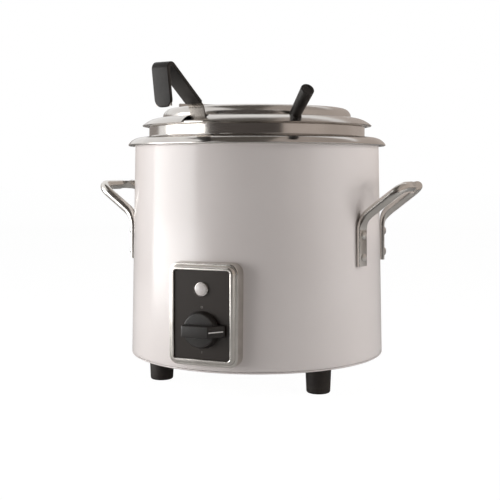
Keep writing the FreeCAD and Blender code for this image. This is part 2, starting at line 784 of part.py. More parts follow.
def rivet_hole(side, leg, height, clearance):
    """Clearance hole for a handle rivet, through the leg and the drum's wall."""
    start, outward = rivet_line(side, leg, height)
    depth = DRUM_WALL + RIVET_TAIL_HEIGHT
    return rod(RIVET_SHANK + clearance, start - outward * depth, outward, depth + 2 * LEG_THICKNESS)


def handle(side):
    bar = handle_bar()
    if side < 0:
        bar = bar.mirror(CENTRE, V(1, 0, 0))
    return bar.cut([rivet_hole(s, leg, z, FIT_GAP) for s, leg, z in rivet_places() if s == side])


def handle_rivets(side):
    rivets = []
    for s, leg, height in rivet_places():
        if s != side:
            continue
        start, outward = rivet_line(s, leg, height)
        head_seat = leg_frame(leg)[0] + LEG_THICKNESS - drum_radius(height)
        head = pointed(dome_head(RIVET_HEAD, RIVET_HEAD_HEIGHT), start + outward * head_seat, outward)
        sagitta = RIVET_TAIL**2 / (2 * drum_radius(height))
        tail_start = start - outward * (DRUM_WALL + sagitta + FIT_GAP)
        tail = rod(RIVET_TAIL, tail_start, -outward, RIVET_TAIL_HEIGHT)
        shank = rod(RIVET_SHANK, tail_start, outward, head_seat + DRUM_WALL + sagitta + FIT_GAP)
        rivets.append(head.fuse([shank, tail]).removeSplitter())
    return rivets


# Control panel: bright cast bezel in two tiers, cut to the drum, with a black face plate let into it
def panel_wire(width, height, corner, distance):
    """Rounded rectangle facing the front at a distance from the kettle's axis."""
    x, z = width / 2, height / 2
    edges = []
    before = None
    spots = [(1, -1, -90), (1, 1, 0), (-1, 1, 90), (-1, -1, 180)]
    ends = []
    for sx, sz, start in spots:
        cx, cz = sx * (x - corner), PANEL_CENTRE + sz * (z - corner)
        angles = (start, start + 45, start + 90)
        points = [V(cx + corner * cosine(a), -distance, cz + corner * sine(a)) for a in angles]
        if before is not None:
            edges.append(Part.LineSegment(before, points[0]).toShape())
        edges.append(Part.Arc(*points).toShape())
        ends.append(points[0])
        before = points[2]
    edges.append(Part.LineSegment(before, ends[0]).toShape())
    return Part.Wire(edges)


def panel_tier(grow_front, front, grow_back, back):
    """Drafted slab of the panel between two distances from the axis."""
    wires = []
    for grow, distance in ((grow_front, front), (grow_back, back)):
        width, height = PANEL_WIDTH + 2 * grow, PANEL_HEIGHT + 2 * grow
        wires.append(panel_wire(width, height, PANEL_ROUND + grow, distance))
    return Part.makeLoft(wires, True, True)


def control_bezel():
    shoulder = PANEL_FRONT - PANEL_CHAMFER
    ledge = PANEL_FRONT - PANEL_TIER
    base = PANEL_DRAFT + PANEL_STEP
    body = panel_tier(-PANEL_CHAMFER, PANEL_FRONT, 0, shoulder)
    body = body.fuse(panel_tier(0, shoulder, PANEL_DRAFT, ledge))
    body = body.fuse(panel_tier(base, ledge, base + PANEL_DRAFT, PANEL_FRONT - PANEL_STAND - PANEL_BACK))
    cuts = [DRUM_FORM, panel_opening(PANEL_FRAME, PANEL_FRONT, PLATE_BACK)]
    cuts.append(panel_opening(PANEL_FRAME + PLATE_LEDGE, PANEL_FRONT, 0))
    cuts += bezel_pins(BEZEL_STUD + FIT_GAP)
    return body.cut(cuts).removeSplitter()


def face_plate():
    plate = panel_opening(PANEL_FRAME + FIT_GAP, PLATE_FRONT, PLATE_BACK)
    holes = [rod(BUSH_RADIUS + FIT_GAP, V(0, 0, KNOB_Z), FRONT, PANEL_FRONT)]
    holes.append(rod(LAMP_RADIUS + FIT_GAP, V(0, 0, LAMP_Z), FRONT, PANEL_FRONT))
    return plate.cut(holes)


def bezel_corners():
    x = PANEL_WIDTH / 2 - BEZEL_STUD_INSET
    z = PANEL_HEIGHT / 2 - PANEL_ROUND - BEZEL_NUT
    return [(sx * x, PANEL_CENTRE + sz * z) for sx in (-1, 1) for sz in (-1, 1)]


def bezel_seat(x, z):
    """Distance from the axis plane to the inside of the drum's wall behind a bezel stud."""
    room = abs(x) + BEZEL_NUT / math.sqrt(3)
    inner = drum_radius(z + BEZEL_NUT) - DRUM_WALL
    return math.sqrt(inner**2 - room**2) - BEZEL_NUT_STAND


def bezel_pins(radius):
    pins = []
    for x, z in bezel_corners():
        low = bezel_seat(x, z) - BEZEL_NUT_HEIGHT - BEZEL_STUD_END
        high = drum_radius(z) * cosine(math.degrees(math.asin(x / drum_radius(z)))) + BEZEL_STUD_DEPTH
        pins.append(rod(radius, V(x, -low, z), FRONT, high - low))
    return pins


def bezel_nuts():
    bore = BEZEL_STUD + FIT_GAP
    seats = [V(x, -bezel_seat(x, z), z) for x, z in bezel_corners()]
    return [hexagon(BEZEL_NUT, BEZEL_NUT_HEIGHT, bore, seat, BACK) for seat in seats]


# Thermostat behind the plate, its sensing bulb on the well and the capillary between them
def thermostat_body():
    low_y = PLATE_BACK - THERMOSTAT_DEPTH
    half_x, half_z = THERMOSTAT_WIDTH / 2, THERMOSTAT_HEIGHT / 2
    case = block(-half_x, half_x, -PLATE_BACK, -low_y, KNOB_Z - half_z, KNOB_Z + half_z)
    upright = [e for e in case.Edges if abs(e.tangentAt(e.FirstParameter).y) > 0.9]
    case = case.makeFillet(THERMOSTAT_ROUND, upright)
    case = case.fuse(rod(BUSH_RADIUS, V(0, -PLATE_BACK, KNOB_Z), FRONT, BUSH_LENGTH))
    bore_end = V(0, -PLATE_BACK + SHAFT_IN_BODY + FIT_GAP, KNOB_Z)
    return case.cut(rod(SHAFT_RADIUS + RUNNING_GAP, bore_end, FRONT, PANEL_FRONT))


def bush_nut():
    seat = V(0, -PLATE_FRONT, KNOB_Z)
    return hexagon(BUSH_NUT, BUSH_NUT_HEIGHT, BUSH_RADIUS + FIT_GAP, seat, FRONT)


def bulb_axis():
    return polar(WELL_OUTER + FIT_GAP + BULB_RADIUS, BULB_TURN, BULB_BOTTOM)


def sensing_bulb():
    return rod(BULB_RADIUS, bulb_axis(), UP, BULB_LENGTH)


def bulb_clip():
    """Bent strap over the bulb, with a tab on each side that lies on the well's wall."""
    start = bulb_axis() + UP * ((BULB_LENGTH - BULB_CLIP_HEIGHT) / 2)
    outward = polar(1, BULB_TURN)
    across = UP.cross(outward)
    hole = BULB_RADIUS + FIT_GAP
    strap_out = hole + BULB_CLIP_SHEET
    tab_end = strap_out + BULB_CLIP_TAB
    tab_top = BULB_CLIP_SHEET - hole
    face = outline_face(
        [
            (hole, -hole),
            (tab_end, -hole),
            (tab_end, tab_top),
            (strap_out, tab_top),
            (strap_out, 0),
            arc_step((0, 0), strap_out, 0, 180),
            (-strap_out, tab_top),
            (-tab_end, tab_top),
            (-tab_end, -hole),
            (-hole, -hole),
            (-hole, 0),
            arc_step((0, 0), hole, 180, 0),
        ],
        lambda u, v: start + across * u + outward * v,
    )
    return face.extrude(UP * BULB_CLIP_HEIGHT)


def capillary_tube():
    end = bulb_axis()
    start_y = -PLATE_BACK + THERMOSTAT_DEPTH - CAPILLARY_INSET
    start = V(-CAPILLARY_OFFSET, start_y, KNOB_Z + THERMOSTAT_HEIGHT / 2)
    points = [start, start + UP * CAPILLARY_RUN, end - UP * CAPILLARY_RUN, end]
    return tube_along(points, CAPILLARY_RADIUS, CAPILLARY_BEND)


# Knob: skirted disc with a bar grip whose nose points at the scale, made with its axis towards the front
def knob_place(shape):
    """Carry a piece made along +Z, with its pointer along +X, to the knob's place on the panel."""
    shape.rotate(CENTRE, V(1, 0, 0), 90)
    shape.translate(V(0, 0, KNOB_Z))
    return shape


def shaft_form(clearance, high):
    """Thermostat spindle with its flat, grown by a clearance, up to a distance from the axis."""
    low = PLATE_BACK - SHAFT_IN_BODY
    spindle = rod(SHAFT_RADIUS + clearance, V(0, 0, low), UP, high - low)
    flat_from = KNOB_BACK
    level = SHAFT_FLAT + clearance
    flat = block(-SHAFT_RADIUS * 2, SHAFT_RADIUS * 2, level, SHAFT_RADIUS * 2, flat_from, high)
    return spindle.cut(flat)


def bar_outline(low):
    """Side of the bar grip: upright tail, flat top and a long slope to the nose."""
    high = KNOB_BACK + KNOB_SKIRT + BAR_HEIGHT
    nose = KNOB_BACK + BAR_NOSE_HEIGHT
    return [
        (-BAR_TAIL, low),
        (-BAR_TAIL, high - BAR_BEVEL),
        (-BAR_TAIL + BAR_BEVEL, high),
        (BAR_TOP, high),
        (BAR_NOSE, nose),
        (BAR_NOSE, low),
    ]


def control_knob():
    front = KNOB_BACK + KNOB_SKIRT
    disc = turned((0, KNOB_BACK), (KNOB_RADIUS, KNOB_BACK), (KNOB_FRONT_RADIUS, front), (0, front))
    side = outline_face(bar_outline(KNOB_BACK), lambda x, z: V(x, -BAR_WIDTH / 2, z))
    knob = disc.fuse(side.extrude(V(0, BAR_WIDTH, 0))).removeSplitter()
    hollow = rod(KNOB_HOLLOW_RADIUS, V(0, 0, KNOB_BACK), UP, KNOB_HOLLOW)
    bore = shaft_form(FIT_GAP, KNOB_BACK + SHAFT_IN_KNOB + FIT_GAP)
    return knob_place(knob.cut([hollow, bore, pointer_form(FIT_GAP)]))


def pointer_form(clearance):
    """Inlaid line along the bar's slope to the nose."""
    high = KNOB_BACK + KNOB_SKIRT + BAR_HEIGHT
    nose = KNOB_BACK + BAR_NOSE_HEIGHT
    rise = math.degrees(math.atan2(high - nose, BAR_NOSE - BAR_TOP))
    length = math.hypot(high - nose, BAR_NOSE - BAR_TOP)
    half = POINTER_WIDTH / 2 + clearance
    low = -POINTER_DEPTH - clearance
    line = block(-clearance, length * POINTER_SHARE + clearance, -half, half, low, 0)
    line.rotate(CENTRE, BACK, rise)
    line.translate(V(BAR_TOP, 0, high))
    return line


def knob_pointer():
    return knob_place(pointer_form(0))


def thermostat_shaft():
    return knob_place(shaft_form(0, KNOB_BACK + SHAFT_IN_KNOB))


# Pilot lamp: rimmed body through the plate, a lens in the rim and a nut behind
def lamp_body():
    rim = turned(
        (0, 0),
        (LAMP_RIM, 0),
        (LAMP_RIM, LAMP_RIM_HEIGHT / 2),
        (LAMP_LENS + FIT_GAP + (LAMP_RIM - LAMP_LENS) / 3, LAMP_RIM_HEIGHT),
        (LAMP_LENS + FIT_GAP, LAMP_RIM_HEIGHT),
        (LAMP_LENS + FIT_GAP, LAMP_LENS_SEAT),
        (0, LAMP_LENS_SEAT),
    )
    lamp = rim.fuse(rod(LAMP_RADIUS, CENTRE, -UP, LAMP_LENGTH))
    return pointed(lamp, V(0, -PLATE_FRONT, LAMP_Z), FRONT)


def lamp_lens():
    height = LAMP_RIM_HEIGHT - LAMP_LENS_SEAT
    lens = rod(LAMP_LENS, CENTRE, UP, height)
    cap = dome_head(LAMP_LENS, LAMP_LENS_HEIGHT)
    cap.translate(UP * height)
    return pointed(lens.fuse(cap), V(0, -PLATE_FRONT - LAMP_LENS_SEAT, LAMP_Z), FRONT)


def lamp_nut():
    seat = V(0, -PLATE_BACK, LAMP_Z)
    return hexagon(LAMP_NUT, LAMP_NUT_HEIGHT, LAMP_RADIUS + FIT_GAP, seat, BACK)


# Mains entry: a gland through the back of the drum, its locknut, a terminal block and the leads
def cord_gland():
    hexed = hexagon(GLAND_HEX, GLAND_HEX_LENGTH, 0, CENTRE, UP)
    dome_end = GLAND_HEX_LENGTH + GLAND_DOME_LENGTH
    cap = turned(
        (0, GLAND_HEX_LENGTH),
        (GLAND_DOME, GLAND_HEX_LENGTH),
        (GLAND_DOME, dome_end - GLAND_DOME_ROUND),
        arc_step((GLAND_DOME - GLAND_DOME_ROUND, dome_end - GLAND_DOME_ROUND), GLAND_DOME_ROUND, 0, 90),
        (0, dome_end),
    )
    body = hexed.fuse([cap, rod(GLAND_THREAD, CENTRE, -UP, GLAND_TAIL)])
    tail_bore = rod(GLAND_TAIL_BORE, V(0, 0, -GLAND_TAIL), UP, GLAND_TAIL + GLAND_BORE_START)
    body = body.cut([rod(GLAND_BORE, CENTRE, UP, dome_end), tail_bore])
    return pointed(body, V(0, GLAND_SEAT, GLAND_Z), BACK)


def gland_nut():
    room = GLAND_HEX / math.sqrt(3)
    inner = drum_radius(GLAND_Z + room) - DRUM_WALL
    seat = math.sqrt(inner**2 - room**2) - FIT_GAP
    return hexagon(GLAND_HEX, GLAND_NUT_HEIGHT, GLAND_THREAD + FIT_GAP, V(0, seat, GLAND_Z), FRONT)


def block_holes():
    """Wire holes along the terminal block, as points on its inner face."""
    y = BLOCK_CIRCLE - BLOCK_SIZE[1] / 2
    z = PAN_Z + PAN_WALL + BLOCK_SIZE[2] / 2
    return [V((i - (BLOCK_WAYS - 1) / 2) * BLOCK_PITCH, y, z) for i in range(BLOCK_WAYS)]


def terminal_block():
    wide, deep, tall = BLOCK_SIZE
    low = PAN_Z + PAN_WALL
    body = block(-wide / 2, wide / 2, BLOCK_CIRCLE - deep / 2, BLOCK_CIRCLE + deep / 2, low, low + tall)
    screws = [rod(BLOCK_HOLE, V(p.x, BLOCK_CIRCLE, low + tall / 2), UP, tall) for p in block_holes()]
    return body.cut(screws)


def internal_leads():
    """Heater leads to the terminal block and the thermostat, its feed, and two lamp leads."""
    left, _, right = block_holes()
    ends = [end - UP * HEATER_LEG for end in heater_ends()]
    near = min(ends, key=lambda p: p.x)
    far = max(ends, key=lambda p: p.x)
    over_pan = PAN_Z + PAN_HEIGHT + LEAD_RISE
    case_low = KNOB_Z - THERMOSTAT_HEIGHT / 2
    case_top = KNOB_Z + THERMOSTAT_HEIGHT / 2
    case_y = -PLATE_BACK + THERMOSTAT_DEPTH - LEAD_INSET
    feed = V(-LEAD_FEED_OFFSET, case_y, case_low)
    load = V(LEAD_LOAD_OFFSET, case_y, case_low)
    runs = [
        [near, V(near.x, near.y, left.z), V(left.x, near.y, left.z), left],
        [far, V(far.x, far.y, over_pan), V(load.x, load.y, over_pan), load],
        [right, V(right.x, right.y - 3 * LEAD_BEND, right.z), V(feed.x, feed.y, right.z), feed],
    ]
    for side in (-1, 1):
        start = V(side * LAMP_LEAD_SPACING / 2, -PLATE_FRONT + LAMP_LENGTH, LAMP_Z)
        corner = start + V(0, LAMP_LEAD_RUN, 0)
        runs.append([start, corner, V(corner.x, corner.y, case_top)])
    return [tube_along(points, LEAD_RADIUS, LEAD_BEND) for points in runs]


# Inset: drawn stainless pan with a rolled rim that hangs on the collar
def inset_pan():
    corner_r = INSET_RADIUS + RIM_CORNER
    corner_z = FLANGE_TOP - RIM_CORNER
    heel = (INSET_RADIUS - INSET_CORNER, INSET_FLOOR + INSET_CORNER)
    pan = turned(
        (0, INSET_FLOOR - INSET_WALL),
        (heel[0], INSET_FLOOR - INSET_WALL),
        arc_step(heel, INSET_CORNER + INSET_WALL, -90, 0),
        (INSET_RADIUS + INSET_WALL, corner_z),
        arc_step((corner_r, corner_z), RIM_CORNER - INSET_WALL, 180, 90),
        (BEAD_R, COLLAR_TOP),
        (BEAD_R, FLANGE_TOP),
        (corner_r, FLANGE_TOP),
        arc_step((corner_r, corner_z), RIM_CORNER, 90, 180),
        (INSET_RADIUS, heel[1]),
        arc_step(heel, INSET_CORNER, 0, -90),
        (0, INSET_FLOOR),
    )
    bead = Part.makeTorus(BEAD_R, RIM_BEAD)
    bead.translate(V(0, 0, BEAD_Z))
    return pan.fuse(bead).removeSplitter()


# Lid: a crowned disc with a domed flange, split across its middle; made with its handle to the front
def lid_disc():
    edge = 90 - LID_SKIRT_ANGLE
    corner_z = LID_TOP - CROWN_CORNER
    corner_r = CROWN_RADIUS - CROWN_CORNER
    return turned(
        (0, LID_TOP),
        (corner_r, LID_TOP),
        arc_step((corner_r, corner_z), CROWN_CORNER, 90, 0),
        (CROWN_RADIUS, DOME_TOP),
        (DOME_R, DOME_TOP),
        arc_step((DOME_R, DOME_Z), LID_DOME, 90, edge),
        (DOME_R + DOME_INNER * cosine(edge), DOME_Z + DOME_INNER * sine(edge)),
        arc_step((DOME_R, DOME_Z), DOME_INNER, edge, 90),
        (CROWN_RADIUS - LID_SHEET, DOME_TOP - LID_SHEET),
        (CROWN_RADIUS - LID_SHEET, corner_z),
        arc_step((corner_r, corner_z), CROWN_CORNER - LID_SHEET, 0, 90),
        (0, LID_TOP - LID_SHEET),
    )


def lid_half(side):
    """Front (-1) or rear (+1) half of the lid, with its rivet holes."""
    reach = 2 * DRUM_BASE_RADIUS
    y0, y1 = sorted((side * LID_SPLIT / 2, side * reach))
    half = lid_disc().common(block(-reach, reach, y0, y1, 0, LID_TOP + reach))
    return half.cut(hinge_rivet_shanks(side, HINGE_RIVET_SHANK + FIT_GAP))


def notch():
    """Slot through the lid's flange for the ladle, open at the edge and rounded inside."""
    mouth = INSET_RADIUS - NOTCH_REACH - STRIP_SHEET
    half = NOTCH_WIDTH / 2
    slot = block(-half, half, -2 * DRUM_BASE_RADIUS, -mouth, DOME_Z, LID_TOP)
    inner = [e for e in slot.Edges if e.BoundBox.ZLength > 1 and abs(e.BoundBox.YMax + mouth) < 1e-3]
    slot = slot.makeFillet(NOTCH_ROUND, inner)
    slot.rotate(CENTRE, UP, LADLE_TURN - LID_TURN)
    return slot


def lid_front_half():
    screw_hole = lid_screw_rod(LID_SCREW_RADIUS + FIT_GAP)
    return lid_half(-1).cut([notch(), screw_hole])


def knuckle_spans():
    """Start and length of each hinge knuckle along the hinge, from one end to the other."""
    pitch = HINGE_LENGTH / HINGE_KNUCKLES
    gap = KNUCKLE_GAP
    return [(-HINGE_LENGTH / 2 + i * pitch + gap / 2, pitch - gap) for i in range(HINGE_KNUCKLES)]


def hinge_leaf(side):
    """Leaf with its own knuckles: the rear leaf has the end ones, the front leaf those between."""
    clear = KNUCKLE_RADIUS + KNUCKLE_GAP
    half = HINGE_LENGTH / 2
    y0, y1 = sorted((side * clear, side * LEAF_WIDTH))
    leaf = block(-half, half, y0, y1, LID_TOP, LID_TOP + LEAF_SHEET)
    first = 0 if side > 0 else 1
    for start, length in knuckle_spans()[first::2]:
        t0, t1 = sorted((0, side * (clear + KNUCKLE_GAP)))
        leaf = leaf.fuse(block(start, start + length, t0, t1, LID_TOP, LID_TOP + LEAF_SHEET))
        leaf = leaf.fuse(rod(KNUCKLE_RADIUS, V(start, 0, HINGE_Z), V(1, 0, 0), length))
    bore = rod(HINGE_PIN + RUNNING_GAP, V(-half, 0, HINGE_Z), V(1, 0, 0), HINGE_LENGTH)
    return leaf.removeSplitter().cut([bore] + hinge_rivet_shanks(side, HINGE_RIVET_SHANK + FIT_GAP))


def hinge_pin():
    half = HINGE_LENGTH / 2 - KNUCKLE_GAP / 2
    pin = rod(HINGE_PIN, V(-half, 0, HINGE_Z), V(1, 0, 0), 2 * half)
    heads = []
    for side in (-1, 1):
        heads.append(rod(PIN_HEAD, V(side * half, 0, HINGE_Z), V(side, 0, 0), PIN_HEAD_LENGTH))
    return pin.fuse(heads)


def hinge_rivet_shanks(side, radius):
    length = LEAF_SHEET + LID_SHEET
    starts = [V(x, side * HINGE_RIVET_ROW, LID_TOP - LID_SHEET) for x in HINGE_RIVETS]
    return [rod(radius, start, UP, length) for start in starts]


def hinge_rivets(side):
    rivets = []
    for x, shank in zip(HINGE_RIVETS, hinge_rivet_shanks(side, HINGE_RIVET_SHANK)):
        heads = []
        for z, way in ((LID_TOP + LEAF_SHEET, UP), (LID_TOP - LID_SHEET, -UP)):
            head = dome_head(HINGE_RIVET_HEAD, HINGE_RIVET_HEAD_HEIGHT)
            heads.append(pointed(head, V(x, side * HINGE_RIVET_ROW, z), way))
        rivets.append(shank.fuse(heads).removeSplitter())
    return rivets


def lid_screw_point(distance):
    """Point on the handle screw's line, at a distance from the middle of the flange's dome."""
    return V(0, -DOME_R - distance * sine(LID_SCREW_TILT), DOME_Z + distance * cosine(LID_SCREW_TILT))


def lid_screw_rod(radius):
    seat = math.sqrt(DOME_INNER**2 - LID_SCREW_HEAD**2)
    way = V(0, -sine(LID_SCREW_TILT), cosine(LID_SCREW_TILT))
    return rod(radius, lid_screw_point(seat), way, LID_DOME - seat + LID_SCREW_GRIP)


def lid_handle_screw():
    seat = math.sqrt(DOME_INNER**2 - LID_SCREW_HEAD**2)
    way = V(0, -sine(LID_SCREW_TILT), cosine(LID_SCREW_TILT))
    head = pointed(dome_head(LID_SCREW_HEAD, LID_SCREW_HEAD_HEIGHT), lid_screw_point(seat), -way)
    return head.fuse(lid_screw_rod(LID_SCREW_RADIUS))


def lid_handle():
    """Tapered moulded handle that leans outwards, its foot cut to the lid."""
    way = V(0, -cosine(LID_HANDLE_RISE), sine(LID_HANDLE_RISE))
    tip = V(0, -DOME_R - LID_HANDLE_START, DOME_TOP - LID_HANDLE_SINK) + way * LID_HANDLE_LENGTH
    whole = LID_HANDLE_LENGTH + LID_HANDLE_DEEP
    bar = turned(
        (0, 0),
        (LID_HANDLE_BASE, 0),
        (LID_HANDLE_TIP, whole - LID_HANDLE_ROUND),
        arc_step((LID_HANDLE_TIP - LID_HANDLE_ROUND, whole - LID_HANDLE_ROUND), LID_HANDLE_ROUND, 0, 90),
        (LID_HANDLE_DIMPLE, whole),
        (LID_HANDLE_DIMPLE, whole - LID_HANDLE_DIMPLE_DEPTH),
        (0, whole - LID_HANDLE_DIMPLE_DEPTH),
    )
    bar = pointed(bar, tip - way * whole, way)
    reach = 2 * DRUM_BASE_RADIUS
    below = lid_disc().fuse(rod(DOME_R, V(0, 0, DOME_Z), UP, DOME_TOP - DOME_Z))
    below.translate(UP * FIT_GAP)
    bar = bar.cut([below, block(-reach, reach, -reach, reach, 0, DOME_Z)])
    bar = max(bar.Solids, key=lambda solid: solid.BoundBox.ZMax)
    return bar.cut(lid_screw_rod(LID_SCREW_RADIUS + FIT_GAP))


# Ladle: drawn bowl, bent strip riveted to it and a moulded grip over the hooked end
def strip_start(heading):
    """Point of the strip's middle beside the bowl, for the strip's heading there."""
    return (BOWL_S + STRIP_REACH * cosine(heading), BOWL_Z - STRIP_REACH * sine(heading))


def whole_strip():
    return strap(strip_start(LADLE_HEADING), LADLE_HEADING, LADLE_MOVES, STRIP_SHEET, STRIP_WIDTH)


def ladle_strip():
    return whole_strip().cut(ladle_rivet_shanks(LADLE_RIVET_SHANK + FIT_GAP))


def ladle_bowl():
    inner = BOWL_RADIUS - BOWL_WALL
    bowl = turned(
        (0, -BOWL_RADIUS),
        arc_step((0, 0), BOWL_RADIUS, -90, 0),
        (inner, 0),
        arc_step((0, 0), inner, 0, -90),
    )
    bowl.rotate(CENTRE, V(1, 0, 0), LADLE_ANGLE)
    bowl.translate(V(0, -BOWL_S, BOWL_Z))
    return bowl.cut(ladle_rivet_shanks(LADLE_RIVET_SHANK + FIT_GAP))


def ladle_rivet_lines():
    """Start inside the bowl and outward direction of the two rivets."""
    heading = LADLE_ANGLE + BOWL_WRAP_ANGLE / 2
    way = V(0, -cosine(heading), -sine(heading))
    room = LADLE_RIVET_SPACING / 2 + LADLE_RIVET_HEAD
    inside = math.sqrt((BOWL_RADIUS - BOWL_WALL) ** 2 - room**2) - FIT_GAP
    middle = V(0, -BOWL_S, BOWL_Z) + way * inside
    aside = V(LADLE_RIVET_SPACING / 2, 0, 0)
    return [(middle - aside, way, inside), (middle + aside, way, inside)]


def ladle_rivet_shanks(radius):
    seat = STRIP_REACH + STRIP_SHEET / 2
    return [rod(radius, start, way, seat - inside) for start, way, inside in ladle_rivet_lines()]


def ladle_rivets():
    rivets = []
    seat = STRIP_REACH + STRIP_SHEET / 2
    for shank, (start, way, inside) in zip(ladle_rivet_shanks(LADLE_RIVET_SHANK), ladle_rivet_lines()):
        heads = []
        for end, out in ((start + way * (seat - inside), way), (start, -way)):
            heads.append(pointed(dome_head(LADLE_RIVET_HEAD, LADLE_RIVET_HEIGHT), end, out))
        rivets.append(shank.fuse(heads).removeSplitter())
    return rivets


def strip_point(moves):
    """Where the strip's middle has got to, and its heading, after some of its moves."""
    heading = LADLE_HEADING
    s, z = strip_start(heading)
    for turn, size in moves:
        if turn == 0:
            s += size * sine(heading)
            z += size * cosine(heading)
            continue
        signed = math.copysign(size, turn)
        s += signed * (cosine(heading) - cosine(heading + turn))
        z += signed * (sine(heading + turn) - sine(heading))
        heading += turn
    return (s, z), heading


def ladle_grip():
    """Moulded sleeve over the upper run, the fold and the hook, with a rounded end."""
    (s, z), heading = strip_point(LADLE_MOVES[:3] + [(0, GRIP_START)])
    moves = [(0, UPPER_LENGTH - GRIP_START), LADLE_MOVES[4], (0, HOOK_LENGTH + GRIP_TIP)]
    grip = strap((s, z), heading, moves, GRIP_THICKNESS, GRIP_WIDTH)
    (s, z), _ = strip_point(LADLE_MOVES + [(0, GRIP_TIP)])
    across = [e for e in grip.Edges if abs(e.Length - GRIP_THICKNESS) < RUNNING_GAP]
    tip_edges = [e for e in across if e.CenterOfMass.distanceToPoint(V(0, -s, z)) < GRIP_WIDTH]
    grip = grip.makeFillet(GRIP_END_ROUND, tip_edges)
    return grip.cut(whole_strip())


def turn_group(shape, turn):
    """Turn a piece, or each of a group, about the kettle's axis."""
    for piece in shape if isinstance(shape, list) else [shape]:
        piece.rotate(CENTRE, UP, turn)
    return shape


PIECES = {name: foot(turn) for name, turn in FOOT_TURNS.items()}
PIECES |= {
    "foot_screws": foot_screws(),
    "foot_nuts": foot_nuts(),
    "base_pan": base_pan(),
    "drum": drum(),
    "well_ring": well_ring(),
    "water_well": water_well(),
    "insulation_jacket": insulation_jacket(),
    "heating_element": heating_element(),
    "heater_clamp_plate": clamp_plate(),
    "heater_studs": studs(),
    "stud_nuts": stud_nuts(),
    "thermal_cutout": thermal_cutout(),
    "right_handle": handle(1),
    "left_handle": handle(-1),
    "right_handle_rivets": handle_rivets(1),
    "left_handle_rivets": handle_rivets(-1),
    "control_bezel": control_bezel(),
    "control_face_plate": face_plate(),
    "bezel_studs": bezel_pins(BEZEL_STUD),
    "bezel_nuts": bezel_nuts(),
    "thermostat_body": thermostat_body(),
    "thermostat_nut": bush_nut(),
    "thermostat_bulb": sensing_bulb(),
    "bulb_clip": bulb_clip(),
    "capillary_tube": capillary_tube(),
    "pilot_lamp_body": lamp_body(),
    "pilot_lamp_lens": lamp_lens(),
    "pilot_lamp_nut": lamp_nut(),
    "cord_gland": cord_gland(),
    "gland_nut": gland_nut(),
    "terminal_block": terminal_block(),
    "internal_leads": internal_leads(),
    "control_knob": control_knob(),
    "knob_pointer": knob_pointer(),
    "thermostat_shaft": thermostat_shaft(),
    "inset_pan": inset_pan(),
    "lid_rear_half": turn_group(lid_half(1), LID_TURN),
    "hinge_leaf_rear": turn_group(hinge_leaf(1), LID_TURN),
    "hinge_pin": turn_group(hinge_pin(), LID_TURN),
    "hinge_rivets_rear": turn_group(hinge_rivets(1), LID_TURN),
    "lid_front_half": turn_group(lid_front_half(), LID_TURN),
    "hinge_leaf_front": turn_group(hinge_leaf(-1), LID_TURN),
    "hinge_rivets_front": turn_group(hinge_rivets(-1), LID_TURN),
    "lid_handle": turn_group(lid_handle(), LID_TURN),
    "lid_handle_screw": turn_group(lid_handle_screw(), LID_TURN),
    "ladle_bowl": turn_group(ladle_bowl(), LADLE_TURN),
    "ladle_strip": turn_group(ladle_strip(), LADLE_TURN),
    "ladle_rivets": turn_group(ladle_rivets(), LADLE_TURN),
    "ladle_grip": turn_group(ladle_grip(), LADLE_TURN),
}

# The frame's origin lies on the floor under the middle of the whole object, hook to gland
(FOLD_S, FOLD_Z), FOLD_HEADING = strip_point(LADLE_MOVES[:4])
HOOK_REACH = FOLD_S + FOLD_RADIUS * cosine(FOLD_HEADING) + FOLD_RADIUS + GRIP_THICKNESS / 2
FRONT_REACH = HOOK_REACH * cosine(LADLE_TURN) + GRIP_WIDTH / 2 * abs(sine(LADLE_TURN))
REAR_REACH = GLAND_SEAT + GLAND_HEX_LENGTH + GLAND_DOME_LENGTH
AXIS_Y = (FRONT_REACH - REAR_REACH) / 2

os.makedirs("parts", exist_ok=True)
for name, piece in PIECES.items():
    shape = Part.makeCompound(piece) if isinstance(piece, list) else piece
    shape.translate(V(0, AXIS_Y, 0))
    shape.exportStep(f"parts/{name}.step")
    print(f"{name}: {len(shape.Solids)} solids, {shape.Volume:.1f} mm3, valid {shape.isValid()}")
print(f"kettle axis at y = {AXIS_Y:.3f} mm")
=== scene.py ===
import bmesh
import bpy
import numpy as np
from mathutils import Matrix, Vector


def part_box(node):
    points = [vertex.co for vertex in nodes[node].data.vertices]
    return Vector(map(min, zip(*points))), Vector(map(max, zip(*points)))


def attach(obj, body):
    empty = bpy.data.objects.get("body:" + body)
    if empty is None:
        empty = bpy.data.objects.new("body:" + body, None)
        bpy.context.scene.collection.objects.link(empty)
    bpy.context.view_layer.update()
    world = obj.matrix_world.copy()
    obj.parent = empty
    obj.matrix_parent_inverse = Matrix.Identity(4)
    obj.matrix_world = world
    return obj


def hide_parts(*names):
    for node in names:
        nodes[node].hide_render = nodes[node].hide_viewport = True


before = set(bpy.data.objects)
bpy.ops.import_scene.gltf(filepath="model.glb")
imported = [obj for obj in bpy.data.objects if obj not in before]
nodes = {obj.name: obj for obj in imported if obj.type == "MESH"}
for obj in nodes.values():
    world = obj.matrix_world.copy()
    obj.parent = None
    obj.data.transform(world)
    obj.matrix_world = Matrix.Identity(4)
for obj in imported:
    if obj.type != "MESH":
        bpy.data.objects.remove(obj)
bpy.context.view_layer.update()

# Feet: three black rubber cups, each moulded in one piece and screwed up to the base pan through its hollow.
# The mould gives them a matt skin, a slight draught and a rounded lower edge.
MM = 0.001
ring_low, ring_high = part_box("well_ring")
AXIS = np.array([0.0, (ring_low.y + ring_high.y) / 2 / MM, 0.0])
FRONT = np.array([0.0, -1.0, 0.0])
RIGHT = np.array([1.0, 0.0, 0.0])
UP = np.array([0.0, 0.0, 1.0])
FOOT_TURNS = {"front_left_foot": -58, "front_right_foot": 58, "rear_foot": 180}
FOOT_CIRCLE, FOOT_HEIGHT, FOOT_ROOF = 121.2, 33.4, 9.0
